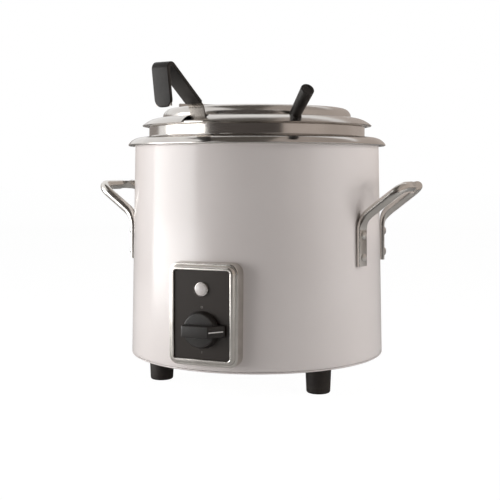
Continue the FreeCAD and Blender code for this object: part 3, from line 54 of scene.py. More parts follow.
FOOT_BORE, FOOT_HOLLOW, FOOT_TOE, FOOT_SHOULDER = 2.7, 7.0, 14.0, 15.5
FOOT_OUTLINE = [
    (FOOT_BORE, FOOT_HEIGHT - FOOT_ROOF, 0),
    (FOOT_HOLLOW, FOOT_HEIGHT - FOOT_ROOF, 0.5),
    (FOOT_HOLLOW, 0, 0.6),
    (FOOT_TOE, 0, 2.6),
    (FOOT_SHOULDER, FOOT_HEIGHT, 0.6),
    (FOOT_BORE, FOOT_HEIGHT, 0),
]


def rounded(corners, radii, closed=False, steps=8):
    """Path through corners, in any number of dimensions: at a corner with a radius the two straight runs are
    joined by their tangent arc, whose points lie at even angles about its centre."""
    corners = np.asarray(corners, float)
    last = len(corners) - 1
    path = []
    for i, radius in enumerate(radii):
        here = corners[i]
        if radius == 0 or (not closed and i in (0, last)):
            path.append(here[None])
            continue
        back, ahead = corners[i - 1] - here, corners[(i + 1) % len(corners)] - here
        back, ahead = back / np.linalg.norm(back), ahead / np.linalg.norm(ahead)
        half = np.arccos(np.clip(back @ ahead, -1, 1)) / 2
        middle = (back + ahead) / np.linalg.norm(back + ahead)
        centre = here + middle * radius / np.sin(half)
        start = here + back * radius / np.tan(half) - centre
        end = here + ahead * radius / np.tan(half) - centre
        sweep = np.pi - 2 * half
        t = np.linspace(0, 1, steps)[:, None]
        path.append(centre + (np.sin((1 - t) * sweep) * start + np.sin(t * sweep) * end) / np.sin(sweep))
    return np.concatenate(path)


def outline(corners, closed=True, steps=8):
    """Path of (radius, height, rounding) corners for a turned piece."""
    corners = np.asarray(corners, float)
    return rounded(corners[:, :2], corners[:, 2], closed, steps)


def turned(path, sides=96):
    """Surface of revolution about +Z: (r, z) goes to (r sin a, -r cos a, z) at even angles a."""
    a = np.linspace(0, 2 * np.pi, sides, endpoint=False)
    r, z = path[:, 0, None], path[:, 1, None]
    return np.stack([r * np.sin(a), -r * np.cos(a), z + 0 * a], -1)


def seated(grid, origin, out=UP, side=RIGHT):
    """Carry a grid made along +Z to an origin, with its Z along out and its X along side."""
    return np.asarray(origin, float) + grid @ np.stack([side, np.cross(out, side), out])


def polar(radius, turn, z=0.0):
    """Points at a radius from the drum's axis, turned from the front towards +X."""
    turn = np.radians(turn)
    return AXIS + np.stack(np.broadcast_arrays(radius * np.sin(turn), -radius * np.cos(turn), z), -1)


def piece(name, body, slot, material, *grids, sharp=40, replaces=()):
    """Mesh in metres from grids of points in mm, each given as (grid, closes down, closes across): rows and
    columns become quads. Doubled points, as at a pole, are merged and the faces turned outwards."""
    points, faces, start = [], [], 0
    for grid, down, across in grids:
        n, m = grid.shape[:2]
        i, j = np.meshgrid(np.arange(n - 1 + down), np.arange(m - 1 + across), indexing="ij")
        around = [(i + a) % n * m + (j + b) % m for a, b in ((0, 0), (0, 1), (1, 1), (1, 0))]
        faces.append(np.stack(around, -1).reshape(-1, 4) + start)
        points.append(grid.reshape(-1, 3) * MM)
        start += n * m
    mesh = bpy.data.meshes.new(name)
    mesh.from_pydata(np.concatenate(points), [], np.concatenate(faces))
    work = bmesh.new()
    work.from_mesh(mesh)
    bmesh.ops.remove_doubles(work, verts=work.verts, dist=1e-6)
    bmesh.ops.recalc_face_normals(work, faces=work.faces)
    work.to_mesh(mesh)
    work.free()
    mesh.shade_smooth()
    mesh.set_sharp_from_angle(angle=np.radians(sharp))
    mesh.materials.append(material)
    thing = bpy.data.objects.new(name, mesh)
    bpy.context.scene.collection.objects.link(thing)
    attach(thing, body)
    if replaces:
        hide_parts(*replaces)
    return thing


class Wire:
    """A shader socket: arithmetic on it adds Math nodes, and node() adds any other node to its tree."""

    def __init__(self, socket):
        self.socket = socket

    def node(self, kind, settings=None, out=0, **inputs):
        tree = self.socket.id_data
        new = tree.nodes.new(kind)
        for key, value in (settings or {}).items():
            setattr(new, key, value)
        for key, value in inputs.items():
            socket = new.inputs[int(key[1:])] if key[0] == "_" else new.inputs[key.replace("_", " ")]
            if isinstance(value, Wire):
                tree.links.new(value.socket, socket)
            else:
                socket.default_value = value
        return Wire(new.outputs[out])

    def math(self, operation, first, second):
        return self.node("ShaderNodeMath", {"operation": operation}, _0=first, _1=second)

    def __add__(self, other):
        return self.math("ADD", self, other)

    def __radd__(self, other):
        return self.math("ADD", other, self)

    def __sub__(self, other):
        return self.math("SUBTRACT", self, other)

    def __rsub__(self, other):
        return self.math("SUBTRACT", other, self)

    def __mul__(self, other):
        return self.math("MULTIPLY", self, other)

    def __rmul__(self, other):
        return self.math("MULTIPLY", other, self)

    def __pow__(self, other):
        return self.math("POWER", self, other)

    def step(self, low, high):
        """Smooth rise from 0 below low to 1 above high."""
        return self.node("ShaderNodeMapRange", {"interpolation_type": "SMOOTHSTEP"}, _0=self, _1=low, _2=high)

    def noise(self, scale, detail=3.0, roughness=0.5):
        return self.node("ShaderNodeTexNoise", Vector=self, Scale=scale, Detail=detail, Roughness=roughness)

    def tint(self, first, second):
        """Colour that goes from the first to the second as this value goes from 0 to 1."""
        colours = {"_6": first + (1,), "_7": second + (1,)}
        return self.node("ShaderNodeMix", {"data_type": "RGBA"}, 2, _0=self, **colours)

    def less(self, point):
        """This vector less a point in mm."""
        return self.node("ShaderNodeVectorMath", {"operation": "SUBTRACT"}, _0=self, _1=tuple(point * MM))

    def split(self):
        return [self.node("ShaderNodeSeparateXYZ", None, i, Vector=self) for i in range(3)]

    def joined(self, x, y, z):
        return self.node("ShaderNodeCombineXYZ", X=x, Y=y, Z=z)


def surface(name, **constants):
    """New material with constants set on its shader: returns it, the shader and its Object coordinates."""
    material = bpy.data.materials.new(name)
    material.use_nodes = True
    shader = material.node_tree.nodes["Principled BSDF"]
    for key, value in constants.items():
        shader.inputs[key.replace("_", " ")].default_value = value
    place = material.node_tree.nodes.new("ShaderNodeTexCoord").outputs["Object"]
    return material, shader, Wire(place)


def feed(shader, bump=None, **wires):
    """Link wires to a shader's sockets; bump is (height, strength, distance) for a Bump node on Normal."""
    if bump:
        height, strength, distance = bump
        wires["Normal"] = height.node("ShaderNodeBump", Strength=strength, Distance=distance, Height=height)
    for key, wire in wires.items():
        shader.id_data.links.new(wire.socket, shader.inputs[key.replace("_", " ")])


rubber, shader, place = surface("foot_rubber", Specular_IOR_Level=0.35)
grain = place.noise(900, 4)
feed(
    shader,
    Base_Color=place.noise(60).step(0.3, 0.7).tint((0.020, 0.016, 0.014), (0.034, 0.028, 0.024)),
    Roughness=0.5 + 0.2 * grain,
    bump=(grain, 0.12, 0.0004),
)
foot_shape = turned(outline(FOOT_OUTLINE), 64)
for foot, turn in FOOT_TURNS.items():
    grid = seated(foot_shape, polar(FOOT_CIRCLE, turn))
    piece(foot + "_cup", "housing", "foot_rubber", rubber, (grid, 1, 1), replaces=[foot])

# Base pan: pressed steel tray in the drum's white enamel, whose rounded lip shows under the drum's edge.
# Its wall stands inside the drum, and the feet are screwed to its floor.
DRUM_BASE_RADIUS, DRUM_TOP_RADIUS = 158.0, 154.0
DRUM_BOTTOM, DRUM_TOP = 35.6, 299.0
PAN_RADIUS, PAN_SHEET, PAN_WALL, PAN_SEAM = 155.9, 1.5, 20.0, 0.3
PAN_OUTLINE = [
    (0, FOOT_HEIGHT, 0),
    (DRUM_BASE_RADIUS, FOOT_HEIGHT, 1.3),
    (DRUM_BASE_RADIUS, DRUM_BOTTOM - PAN_SEAM, 0.5),
    (PAN_RADIUS, DRUM_BOTTOM - PAN_SEAM, 0),
    (PAN_RADIUS, FOOT_HEIGHT + PAN_WALL, 0.4),
    (PAN_RADIUS - PAN_SHEET, FOOT_HEIGHT + PAN_WALL, 0.4),
    (PAN_RADIUS - PAN_SHEET, FOOT_HEIGHT + PAN_SHEET, 1.5),
    (0, FOOT_HEIGHT + PAN_SHEET, 0),
]
enamel, shader, place = surface("white_enamel", Specular_IOR_Level=0.2, Coat_Weight=0.6, Coat_Roughness=0.15)
haze = place.noise(9)
feed(
    shader,
    Base_Color=haze.step(0.35, 0.65).tint((0.83, 0.770, 0.746), (0.85, 0.790, 0.766)),
    Roughness=0.26 + 0.06 * haze,
    bump=(place.noise(420, 2), 0.03, 0.0003),
)
grid = seated(turned(outline(PAN_OUTLINE, closed=False), 160), AXIS)
piece("base_pan_tray", "housing", "white_paint", enamel, (grid, 0, 1), replaces=["base_pan"])

# Drum: rolled and welded sheet, a little wider at the foot, with a bead pressed in just below the top ring.
# It is enamelled white all over with a smooth gloss.
DRUM_WALL = 1.2
BEAD_LOW, BEAD_LENGTH, BEAD_PROUD = DRUM_TOP - 9.5, 3.0, 0.7


def drum_radius(z):
    """Outer radius of the drum, which tapers evenly from its foot to its top."""
    risen = (z - DRUM_BOTTOM) / (DRUM_TOP - DRUM_BOTTOM)
    return DRUM_BASE_RADIUS - (DRUM_BASE_RADIUS - DRUM_TOP_RADIUS) * risen


z = np.concatenate([
    np.linspace(DRUM_BOTTOM + 0.7, BEAD_LOW, 40),
    np.linspace(BEAD_LOW, BEAD_LOW + BEAD_LENGTH, 13)[1:-1],
    np.linspace(BEAD_LOW + BEAD_LENGTH, DRUM_TOP, 6),
])
swell = BEAD_PROUD * np.sin(np.pi * np.clip((z - BEAD_LOW) / BEAD_LENGTH, 0, 1)) ** 2
hem = np.array([(DRUM_BASE_RADIUS - 0.6, DRUM_BOTTOM + 0.1), (DRUM_BASE_RADIUS - 0.15, DRUM_BOTTOM + 0.3)])
inside = np.stack([drum_radius(z[::-8]) - DRUM_WALL, z[::-8]], -1)
wall = np.concatenate([hem, np.stack([drum_radius(z) + swell, z], -1), inside])
grid = seated(turned(wall, 192), AXIS)
piece("drum_shell", "housing", "white_paint", enamel, (grid, 1, 1), replaces=["drum"])

# Carrying handles: bright steel rod bent to a loop, its ends pressed flat as legs that lie on the drum.
# The loop slopes up and outwards from the legs.
HANDLE_HALF, HANDLE_ROD, HANDLE_REACH, HANDLE_RISE = 47.4, 6.0, 38.4, 38.0
HANDLE_BEND, HANDLE_CORNER = 26.0, 16.0
LEG_BOTTOM, LEG_LENGTH, LEG_WIDTH, LEG_THICKNESS, LEG_ROUND = 148.5, 42.6, 15.5, 5.4, 1.6


def carried(path, across, normal, section):
    """A section of (across, normal) offsets carried along a path of points, closed at both ends."""
    section = np.broadcast_to(section, (len(path),) + section.shape[-2:])
    grid = path[:, None] + section[..., :1] * across[:, None] + section[..., 1:] * normal[:, None]
    ends = [np.repeat(end.mean(0)[None], grid.shape[1], 0)[None] for end in (grid[0], grid[-1])]
    return np.concatenate([ends[0], grid, ends[1]])


def oblong(width, thickness, corner, steps=8):
    """Section of a bar: a rectangle with rounded corners."""
    w, t = width / 2, thickness / 2
    return rounded([(w, -t), (w, t), (-w, t), (-w, -t)], [corner] * 4, closed=True, steps=steps)


def unit(vectors):
    """Vectors brought to length 1."""
    return vectors / np.linalg.norm(vectors, axis=-1, keepdims=True)


handle_steel, shader, place = surface("handle_steel", Metallic=1.0)
smear = place.noise(40, 3)
feed(
    shader,
    Base_Color=smear.step(0.3, 0.7).tint((0.66, 0.63, 0.59), (0.74, 0.71, 0.67)),
    Roughness=0.15 + 0.1 * smear,
    bump=(place.noise(300, 2), 0.02, 0.0004),
)
leg_middle = LEG_BOTTOM + LEG_LENGTH / 2
leg_angle = np.arcsin(HANDLE_HALF / drum_radius(leg_middle))
leg_out = np.array([np.cos(leg_angle), -np.sin(leg_angle), 0.0])
foot_at = AXIS + leg_out * (drum_radius(leg_middle) + LEG_THICKNESS / 2) + UP * LEG_BOTTOM
rise = np.radians(HANDLE_RISE)
arm_way = np.array([np.cos(rise), 0.0, np.sin(rise)])
bend_turn = np.pi / 2 - rise
leg_top = foot_at + UP * LEG_LENGTH
knee = leg_top + UP * HANDLE_BEND * np.tan(bend_turn / 2)
bend_out = unit(leg_out + RIGHT) * HANDLE_BEND * (1 - np.cos(bend_turn))
bend_end = leg_top + bend_out + UP * HANDLE_BEND * np.sin(bend_turn)
elbow = bend_end + arm_way * HANDLE_REACH / np.cos(rise)
grip_middle = elbow * [1, 0, 1] + AXIS
bends = [0, 0, HANDLE_BEND, HANDLE_CORNER, 0]
half_path = rounded([foot_at, leg_top, knee, elbow, grip_middle], bends, steps=17)
half_path = np.concatenate([np.linspace(foot_at, leg_top, 6)[:-1], half_path[1:]])
along = unit(np.gradient(half_path, axis=0))
roundness = np.clip((half_path[:, 2] - leg_top[2]) / (HANDLE_BEND * np.sin(bend_turn)), 0, 1)[:, None]
roundness = roundness**2 * (3 - 2 * roundness)
normal = leg_out * (1 - roundness) + np.array([np.sin(rise), 0.0, -np.cos(rise)]) * roundness
normal = unit(normal - along * (normal * along).sum(-1, keepdims=True))
across = np.cross(normal, along)
pressed = oblong(LEG_WIDTH, LEG_THICKNESS, LEG_ROUND)
angles = np.arctan2(*unit(oblong(2, 2, 0.99)).T[::-1])[:, None]
circle = HANDLE_ROD * np.concatenate([np.cos(angles), np.sin(angles)], -1)
sections = pressed * (1 - roundness[..., None]) + circle * roundness[..., None]
mirror_y = np.array([1, -1, 1])
path = np.concatenate([half_path, (AXIS + (half_path - AXIS) * mirror_y)[-2::-1]])
normal = np.concatenate([normal, (normal * mirror_y)[-2::-1]])
across = np.concatenate([across, (-across * mirror_y)[-2::-1]])
sections = np.concatenate([sections, sections[-2::-1]])
loop = carried(path, across, normal, sections)
for side, name in ((1, "right_handle"), (-1, "left_handle")):
    grid = AXIS + (loop - AXIS) * [side, 1, 1]
    piece(name + "_loop", "housing", "handle_steel", handle_steel, (grid, 0, 1), replaces=[name])

# Handle rivets: four aluminium rivets to a handle, with domed heads on the legs.
# Their tails are closed against the drum's inside.
RIVET_HEIGHTS = (10.0, 36.0)
RIVET_HEAD, RIVET_HEAD_HEIGHT, RIVET_SHANK, RIVET_TAIL = 5.0, 2.6, 2.4, 4.0
rivet_metal, shader, place = surface("rivet_aluminium", Metallic=1.0)
feed(
    shader,
    Base_Color=place.noise(150).step(0.3, 0.7).tint((0.62, 0.60, 0.57), (0.74, 0.72, 0.69)),
    Roughness=0.26 + 0.14 * place.noise(500),
)
a = np.radians(np.linspace(90, 0, 12))
dome = np.stack([RIVET_HEAD * np.cos(a), RIVET_HEAD_HEIGHT * np.sin(a)], -1)
tail_top, tail_end = -LEG_THICKNESS - 2, -LEG_THICKNESS - 3.4
shank = [(RIVET_SHANK, 0), (RIVET_SHANK, tail_top)]
tail = [(RIVET_TAIL, tail_top), (RIVET_TAIL, tail_end), (0, tail_end)]
rivet = turned(np.concatenate([dome, shank, tail]), 32)
for side, name in ((1, "right_handle_rivets"), (-1, "left_handle_rivets")):
    grids = []
    for leg in (-1, 1):
        out = leg_out * [side, -leg, 1]
        for height in RIVET_HEIGHTS:
            seat = AXIS + out * (drum_radius(leg_middle) + LEG_THICKNESS - 0.1) + UP * (LEG_BOTTOM + height)
            grids.append((seated(rivet, seat, out, np.cross(UP, out)), 0, 1))
    piece(name + "_heads", "housing", "rivet_aluminium", rivet_metal, *grids, replaces=[name])

# Control bezel: bright cast frame on the drum's front, with a rolled edge and a stepped foot cut to the drum.
# Studs through the drum's wall hold it.
PANEL_CENTRE, PANEL_WIDTH, PANEL_HEIGHT, PANEL_ROUND, PANEL_FRAME = 99.8, 76.0, 107.0, 7.0, 4.0
PANEL_FRONT, PANEL_TIER, PANEL_DRAFT, PANEL_STEP, PANEL_ROOT = 170.0, 5.0, 1.5, 2.5, 143.0
PLATE_FRONT, PLATE_SHEET = PANEL_FRONT - 2.0, 1.5
BEZEL_OUTLINE = [
    (-PANEL_FRAME, PLATE_FRONT - PLATE_SHEET, 0),
    (-PANEL_FRAME, PANEL_FRONT, 1.2),
    (0, PANEL_FRONT, 2.2),
    (PANEL_DRAFT, PANEL_FRONT - PANEL_TIER, 0.5),
    (PANEL_DRAFT + PANEL_STEP, PANEL_FRONT - PANEL_TIER, 1.2),
    (2 * PANEL_DRAFT + PANEL_STEP, PANEL_ROOT, 0),
]


def frame_line(width, height, corner, arc=9, run=16):
    """Rounded rectangle as points and outward normals, with points along its straight runs too."""
    x, z = width / 2 - corner, height / 2 - corner
    points, normals = [], []
    for i, (sx, sz) in enumerate(((1, 1), (-1, 1), (-1, -1), (1, -1))):
        a = np.radians(np.linspace(0, 90, arc) + 90 * i)[:, None]
        normals.append(np.concatenate([np.cos(a), np.sin(a)], -1))
        points.append(np.array([sx * x, sz * z]) + corner * normals[-1])
    loop_points, loop_normals = [], []
    for i in range(4):
        run_points = np.linspace(points[i][-1], points[(i + 1) % 4][0], run)[1:-1]
        loop_points += [points[i], run_points]
        loop_normals += [normals[i], np.broadcast_to(normals[i][-1], run_points.shape)]
    return np.concatenate(loop_points), np.concatenate(loop_normals)


bezel_metal, shader, place = surface("bezel_metal", Metallic=1.0)
smear = place.noise(55, 3)
feed(
    shader,
    Base_Color=smear.step(0.3, 0.7).tint((0.60, 0.57, 0.53), (0.69, 0.66, 0.62)),
    Roughness=0.17 + 0.1 * smear,
    bump=(place.noise(500, 2), 0.02, 0.0003),
)
line, out = frame_line(PANEL_WIDTH, PANEL_HEIGHT, PANEL_ROUND)
shape = outline(BEZEL_OUTLINE, closed=False)
spot = line + shape[:, :1, None].transpose(0, 2, 1) * out
depth = np.broadcast_to(shape[:, 1, None], spot.shape[:2]).copy()
drum_depth = np.sqrt(drum_radius(PANEL_CENTRE + spot[-1, :, 1]) ** 2 - spot[-1, :, 0] ** 2)
share = (PANEL_FRONT - PANEL_TIER - drum_depth) / (PANEL_FRONT - PANEL_TIER - PANEL_ROOT)
spot[-1] = line + (PANEL_DRAFT + PANEL_STEP + PANEL_DRAFT * share[:, None]) * out
depth[-1] = drum_depth - 0.5
grid = AXIS + np.stack([spot[..., 0], -depth, PANEL_CENTRE + spot[..., 1]], -1)
back = grid[-1:] + (grid[:1] - grid[-1:]) * 0.7
back[..., 1] = AXIS[1] - depth[-1] + 1.0
grid = np.concatenate([grid, back])
piece("bezel_frame", "housing", "bezel_metal", bezel_metal, (grid, 1, 1), replaces=["control_bezel"])

# Face plate: black painted sheet let into the bezel, with holes for the thermostat's bush and the lamp.
# Two small numerals are printed on it in grey, a nought above the knob and a one below it.
KNOB_Z, LAMP_Z = PANEL_CENTRE - 16.5, PANEL_CENTRE + 28.7
PLATE_ROUND, PLATE_GAP = 3.0, 0.3
PRINT_RISE, PRINT_HALF, PRINT_STROKE = 25.1, 1.1, 0.35


def slab(line, out, low, high, edge, margin=0.6, steps=5):
    """Plate between two heights over a closed flat outline: near each face the outline is drawn in along its
    normals by the rounding of the edge and then by a flat margin, and each face is closed on its middle."""
    a = np.radians(np.linspace(90, 0, steps))
    drawn_in = np.append(edge + margin, edge * (1 - np.cos(a)))
    rounding = np.append(edge, edge * np.sin(a))
    inset = np.concatenate([drawn_in, drawn_in[::-1]])
    level = np.concatenate([high - edge + rounding, low + edge - rounding[::-1]])
    spot = line - inset[:, None, None] * out
    grid = np.concatenate([spot, np.broadcast_to(level[:, None, None], spot.shape[:2] + (1,))], -1)
    caps = [np.broadcast_to(np.append(line.mean(0), height), grid[:1].shape) for height in (high, low)]
    return np.concatenate([caps[0], grid, caps[1]])


plate_paint, shader, place = surface("black_plate", Specular_IOR_Level=0.4)
grain = place.noise(800, 3)
x, _, z = place.less(AXIS + UP * (KNOB_Z + PRINT_RISE)).split()
from_line = (((x * x + z * z) ** 0.5 - PRINT_HALF * MM) ** 2) ** 0.5
nought = 1 - from_line.step(0.5 * PRINT_STROKE * MM, PRINT_STROKE * MM)
x, _, z = place.less(AXIS + UP * (KNOB_Z - PRINT_RISE)).split()
aside = (x * x) ** 0.5
from_line = aside.math("MAXIMUM", aside, (z * z) ** 0.5 - PRINT_HALF * MM)
one = 1 - from_line.step(0.5 * PRINT_STROKE * MM, PRINT_STROKE * MM)
feed(
    shader,
    Base_Color=(nought + one).tint((0.023, 0.0155, 0.011), (0.20, 0.18, 0.165)),
    Roughness=0.42 + 0.12 * grain,
    bump=(grain, 0.05, 0.0002),
)
smaller = 2 * PANEL_FRAME + PLATE_GAP
line, out = frame_line(PANEL_WIDTH - smaller, PANEL_HEIGHT - smaller, PLATE_ROUND)
grid = slab(line, out, PLATE_FRONT - PLATE_SHEET, PLATE_FRONT, edge=0.2)
piece(
    "panel_plate", "housing", "black_plate", plate_paint,
    (seated(grid, AXIS + UP * PANEL_CENTRE, FRONT), 0, 1), replaces=["control_face_plate"],
)

# Pilot lamp: bright rimmed body pushed through the plate and held from behind by a nut.
# Its lens is a low dome of pale frosted plastic, pressed into the rim.
LAMP_BARREL, LAMP_LENGTH, LAMP_RIM, LAMP_SOCKET = 6.5, 16.0, 8.25, 6.95
LAMP_SEAT, LAMP_PROUD, LENS_RADIUS, LENS_RISE, LENS_BACK = 1.0, 2.0, 6.8, 1.6, 1.05
rim_metal, shader, place = surface("lamp_rim", Metallic=1.0, Base_Color=(0.55, 0.52, 0.50, 1))
feed(shader, Roughness=0.2 + 0.1 * place.noise(300))
frosted, shader, place = surface("lamp_lens", Coat_Weight=0.3)
feed(
    shader,
    Base_Color=place.noise(250).step(0.3, 0.7).tint((0.74, 0.69, 0.67), (0.82, 0.77, 0.75)),
    Roughness=0.3 + 0.1 * place.noise(600),
)
lamp_at = AXIS + FRONT * PLATE_FRONT + UP * LAMP_Z
body = outline(
    [
        (0, -LAMP_LENGTH, 0),
        (LAMP_BARREL, -LAMP_LENGTH, 0.3),
        (LAMP_BARREL, 0, 0),
        (LAMP_RIM, 0, 0.2),
        (LAMP_RIM, LAMP_PROUD, 1.1),
        (LAMP_SOCKET, LAMP_PROUD, 0.2),
        (LAMP_SOCKET, LAMP_SEAT, 0),
        (0, LAMP_SEAT, 0),
    ],
    closed=False,
)
grid = seated(turned(body, 64), lamp_at, FRONT)
piece("lamp_rim", "housing", "lamp_rim", rim_metal, (grid, 0, 1), replaces=["pilot_lamp_body"])
a = np.radians(np.linspace(90, 0, 14))
dome = np.stack([LENS_RADIUS * np.cos(a), LAMP_PROUD + LENS_RISE * np.sin(a)], -1)
lens = np.concatenate([dome, [(LENS_RADIUS, LENS_BACK), (0, LENS_BACK)]])
grid = seated(turned(lens, 64), lamp_at, FRONT)
piece("lamp_lens", "housing", "lamp_lens", frosted, (grid, 0, 1), replaces=["pilot_lamp_lens"])

# Control knob: black moulding on the thermostat's flatted shaft, a skirted disc with a bar grip across it.
# A white line let into the bar's slope shows the setting.
KNOB_BACK = PLATE_FRONT + 0.8
KNOB_FOOT, KNOB_FACE, KNOB_SKIRT, BAR_HEIGHT, BAR_HALF = 21.0, 19.0, 7.5, 11.0, 6.5
POINTER_WIDTH, POINTER_DEPTH = 1.2, 0.9
BAR_TAIL, BAR_CREST, BAR_NOSE, BAR_NOSE_HEIGHT = -17.5, 15.6, 29.0, 2.0
BAR_LINE = [
    (BAR_TAIL, 3, 0),
    (BAR_TAIL, KNOB_SKIRT + BAR_HEIGHT, 3),
    (BAR_CREST, KNOB_SKIRT + BAR_HEIGHT, 1.6),
    (BAR_NOSE, BAR_NOSE_HEIGHT, 0.6),
    (BAR_NOSE, 0.4, 0.3),
    (10, 0.4, 0),
]
knob_plastic, shader, place = surface("knob_plastic", Specular_IOR_Level=0.45)
grain = place.noise(700, 3)
feed(
    shader,
    Base_Color=place.noise(60).step(0.3, 0.7).tint((0.016, 0.0135, 0.0115), (0.024, 0.0205, 0.018)),
    Roughness=0.36 + 0.12 * grain,
    bump=(grain, 0.06, 0.0003),
)
knob_at = AXIS + FRONT * KNOB_BACK + UP * KNOB_Z
disc = [(0, 0, 0), (KNOB_FOOT, 0, 0.4), (KNOB_FACE, KNOB_SKIRT, 1.6), (0, KNOB_SKIRT, 0)]
disc = outline(disc, closed=False)
bar_line = outline(BAR_LINE)
bar_out = unit(np.roll(bar_line, -1, 0) - np.roll(bar_line, 1, 0)) @ np.array([[0, 1], [-1, 0]])
bar = slab(bar_line, bar_out, -BAR_HALF, BAR_HALF, edge=1.2)
bar = np.stack([bar[..., 0], bar[..., 2], bar[..., 1]], -1)
piece(
    "knob_grip", "knob", "knob_plastic", knob_plastic,
    (seated(turned(disc, 96), knob_at, FRONT), 0, 1),
    (seated(bar, knob_at, FRONT), 0, 1),
    replaces=["control_knob"],
)
white_line, shader, place = surface("white_line", Base_Color=(0.78, 0.75, 0.72, 1))
feed(shader, Roughness=0.4 + 0.1 * place.noise(300))
slope = np.array([BAR_NOSE - BAR_CREST, 0, BAR_NOSE_HEIGHT - KNOB_SKIRT - BAR_HEIGHT])
line_start = np.array([BAR_CREST, 0, KNOB_SKIRT + BAR_HEIGHT])
lift = np.array([-slope[2], 0, slope[0]]) / np.linalg.norm(slope)
stations = line_start + np.linspace(0.06, 0.9, 5)[:, None] * slope
across, normal = (np.broadcast_to(way, stations.shape) for way in ([0.0, 1.0, 0.0], lift))
strip = carried(stations, across, normal, oblong(POINTER_WIDTH, POINTER_DEPTH, 0.2, 3))
grid = seated(strip, knob_at, FRONT)
piece("pointer_line", "knob", "white_line", white_line, (grid, 0, 1), replaces=["knob_pointer"])

# Ring and collar: spun from one stainless sheet, with a domed skirt over the drum's edge, a rolled hem and an
# upright collar around the well's mouth. Spinning leaves fine marks that run around it.
RING_R, RING_Z, RING_DOME, RING_SWEEP, RING_BEAD = 146.9, 283.2, 18.6, 57.0, 1.4
RING_TOP, RING_SHEET, HEM_ROLL = RING_Z + RING_DOME, 1.0, 240.0
COLLAR_INNER, COLLAR_OUTER, COLLAR_TOP = 135.15, 136.65, 317.5
STEEL_LIGHT, STEEL_DARK, SPUN_FINENESS = (0.67, 0.64, 0.61), (0.59, 0.56, 0.53), 800


def spun(name, roughness):
    """Spun stainless: noise stretched around the axis gives the turning marks, and broad noise the tone."""
    metal, shader, place = surface(name, Metallic=1.0)
    x, y, z = place.less(AXIS).split()
    from_axis = (x * x + y * y) ** 0.5
    marks = x.joined(from_axis * SPUN_FINENESS, z * SPUN_FINENESS, x * 8).noise(1.0, 2, 0.5)
    smear = place.noise(20, 3)
    feed(
        shader,
        Base_Color=smear.step(0.3, 0.7).tint(STEEL_DARK, STEEL_LIGHT),
        Roughness=roughness + 0.1 * marks + 0.06 * smear,
        bump=(marks, 0.02, 0.0002),
    )
    return metal


steel = spun("spun_steel", 0.08)
a = np.radians(np.linspace(90, 90 - RING_SWEEP, 26))
around = np.stack([np.cos(a), np.sin(a)], -1)
hem_at = np.array([RING_R, RING_Z]) + (RING_DOME - RING_BEAD) * around[-1]
b = a[-1] - np.radians(np.linspace(0, HEM_ROLL, 16)[1:])
hem = hem_at + RING_BEAD * np.stack([np.cos(b), np.sin(b)], -1)
under = np.array([RING_R, RING_Z]) + (RING_DOME - RING_SHEET) * around[-5::-1]
collar = outline(
    [
        (COLLAR_INNER, RING_TOP - RING_SHEET, 0),
        (COLLAR_INNER, COLLAR_TOP, 0.5),
        (COLLAR_OUTER, COLLAR_TOP, 0.5),
        (COLLAR_OUTER, RING_TOP, 2.5),
        (RING_R - 0.5, RING_TOP, 0),
    ],
    closed=False,
)
ring = np.concatenate([collar, np.array([RING_R, RING_Z]) + RING_DOME * around, hem, under])
grid = seated(turned(ring, 192), AXIS)
piece("mouth_ring", "housing", "stainless", steel, (grid, 1, 1), replaces=["well_ring"])

# Water well and what is closed in below it: the drawn well, its heater and studs, the thermostat with its
# bulb, the terminal block and leads. They keep their solids and take the finish of what they are made of.
FINISHES = {
    "glass_wool": ((0.62, 0.55, 0.36), 0.9, 0.0, ["insulation_jacket"]),
    "heater_sheath": ((0.16, 0.14, 0.13), 0.45, 1.0, ["heating_element"]),
    "ceramic_body": ((0.66, 0.63, 0.57), 0.55, 0.0, ["thermal_cutout", "terminal_block"]),
    "zinc": (
        (0.55, 0.56, 0.57), 0.35, 1.0,
        ["heater_clamp_plate", "heater_studs", "stud_nuts", "foot_screws", "foot_nuts", "bezel_studs",
         "bezel_nuts", "thermostat_nut", "thermostat_shaft", "pilot_lamp_nut"],
    ),
    "black_housing": ((0.018, 0.016, 0.015), 0.4, 0.0, ["thermostat_body", "cord_gland", "gland_nut"]),
    "copper": ((0.66, 0.33, 0.20), 0.32, 1.0, ["thermostat_bulb", "capillary_tube"]),
    "lead_sleeve": ((0.42, 0.06, 0.04), 0.6, 0.0, ["internal_leads"]),
}


def dress(material, names):
    """Give CAD nodes that stay as they are a material."""
    for name in names:
        nodes[name].data.materials.clear()
        nodes[name].data.materials.append(material)


dress(steel, ["water_well", "bulb_clip"])
for name, (colour, roughness, metallic, names) in FINISHES.items():
    material, shader, place = surface(name, Metallic=metallic)
    darker = tuple(0.85 * c for c in colour)
    feed(
        shader,
        Base_Color=place.noise(80).step(0.3, 0.7).tint(darker, colour),
        Roughness=roughness - 0.05 + 0.1 * place.noise(400),
    )
    dress(material, names)

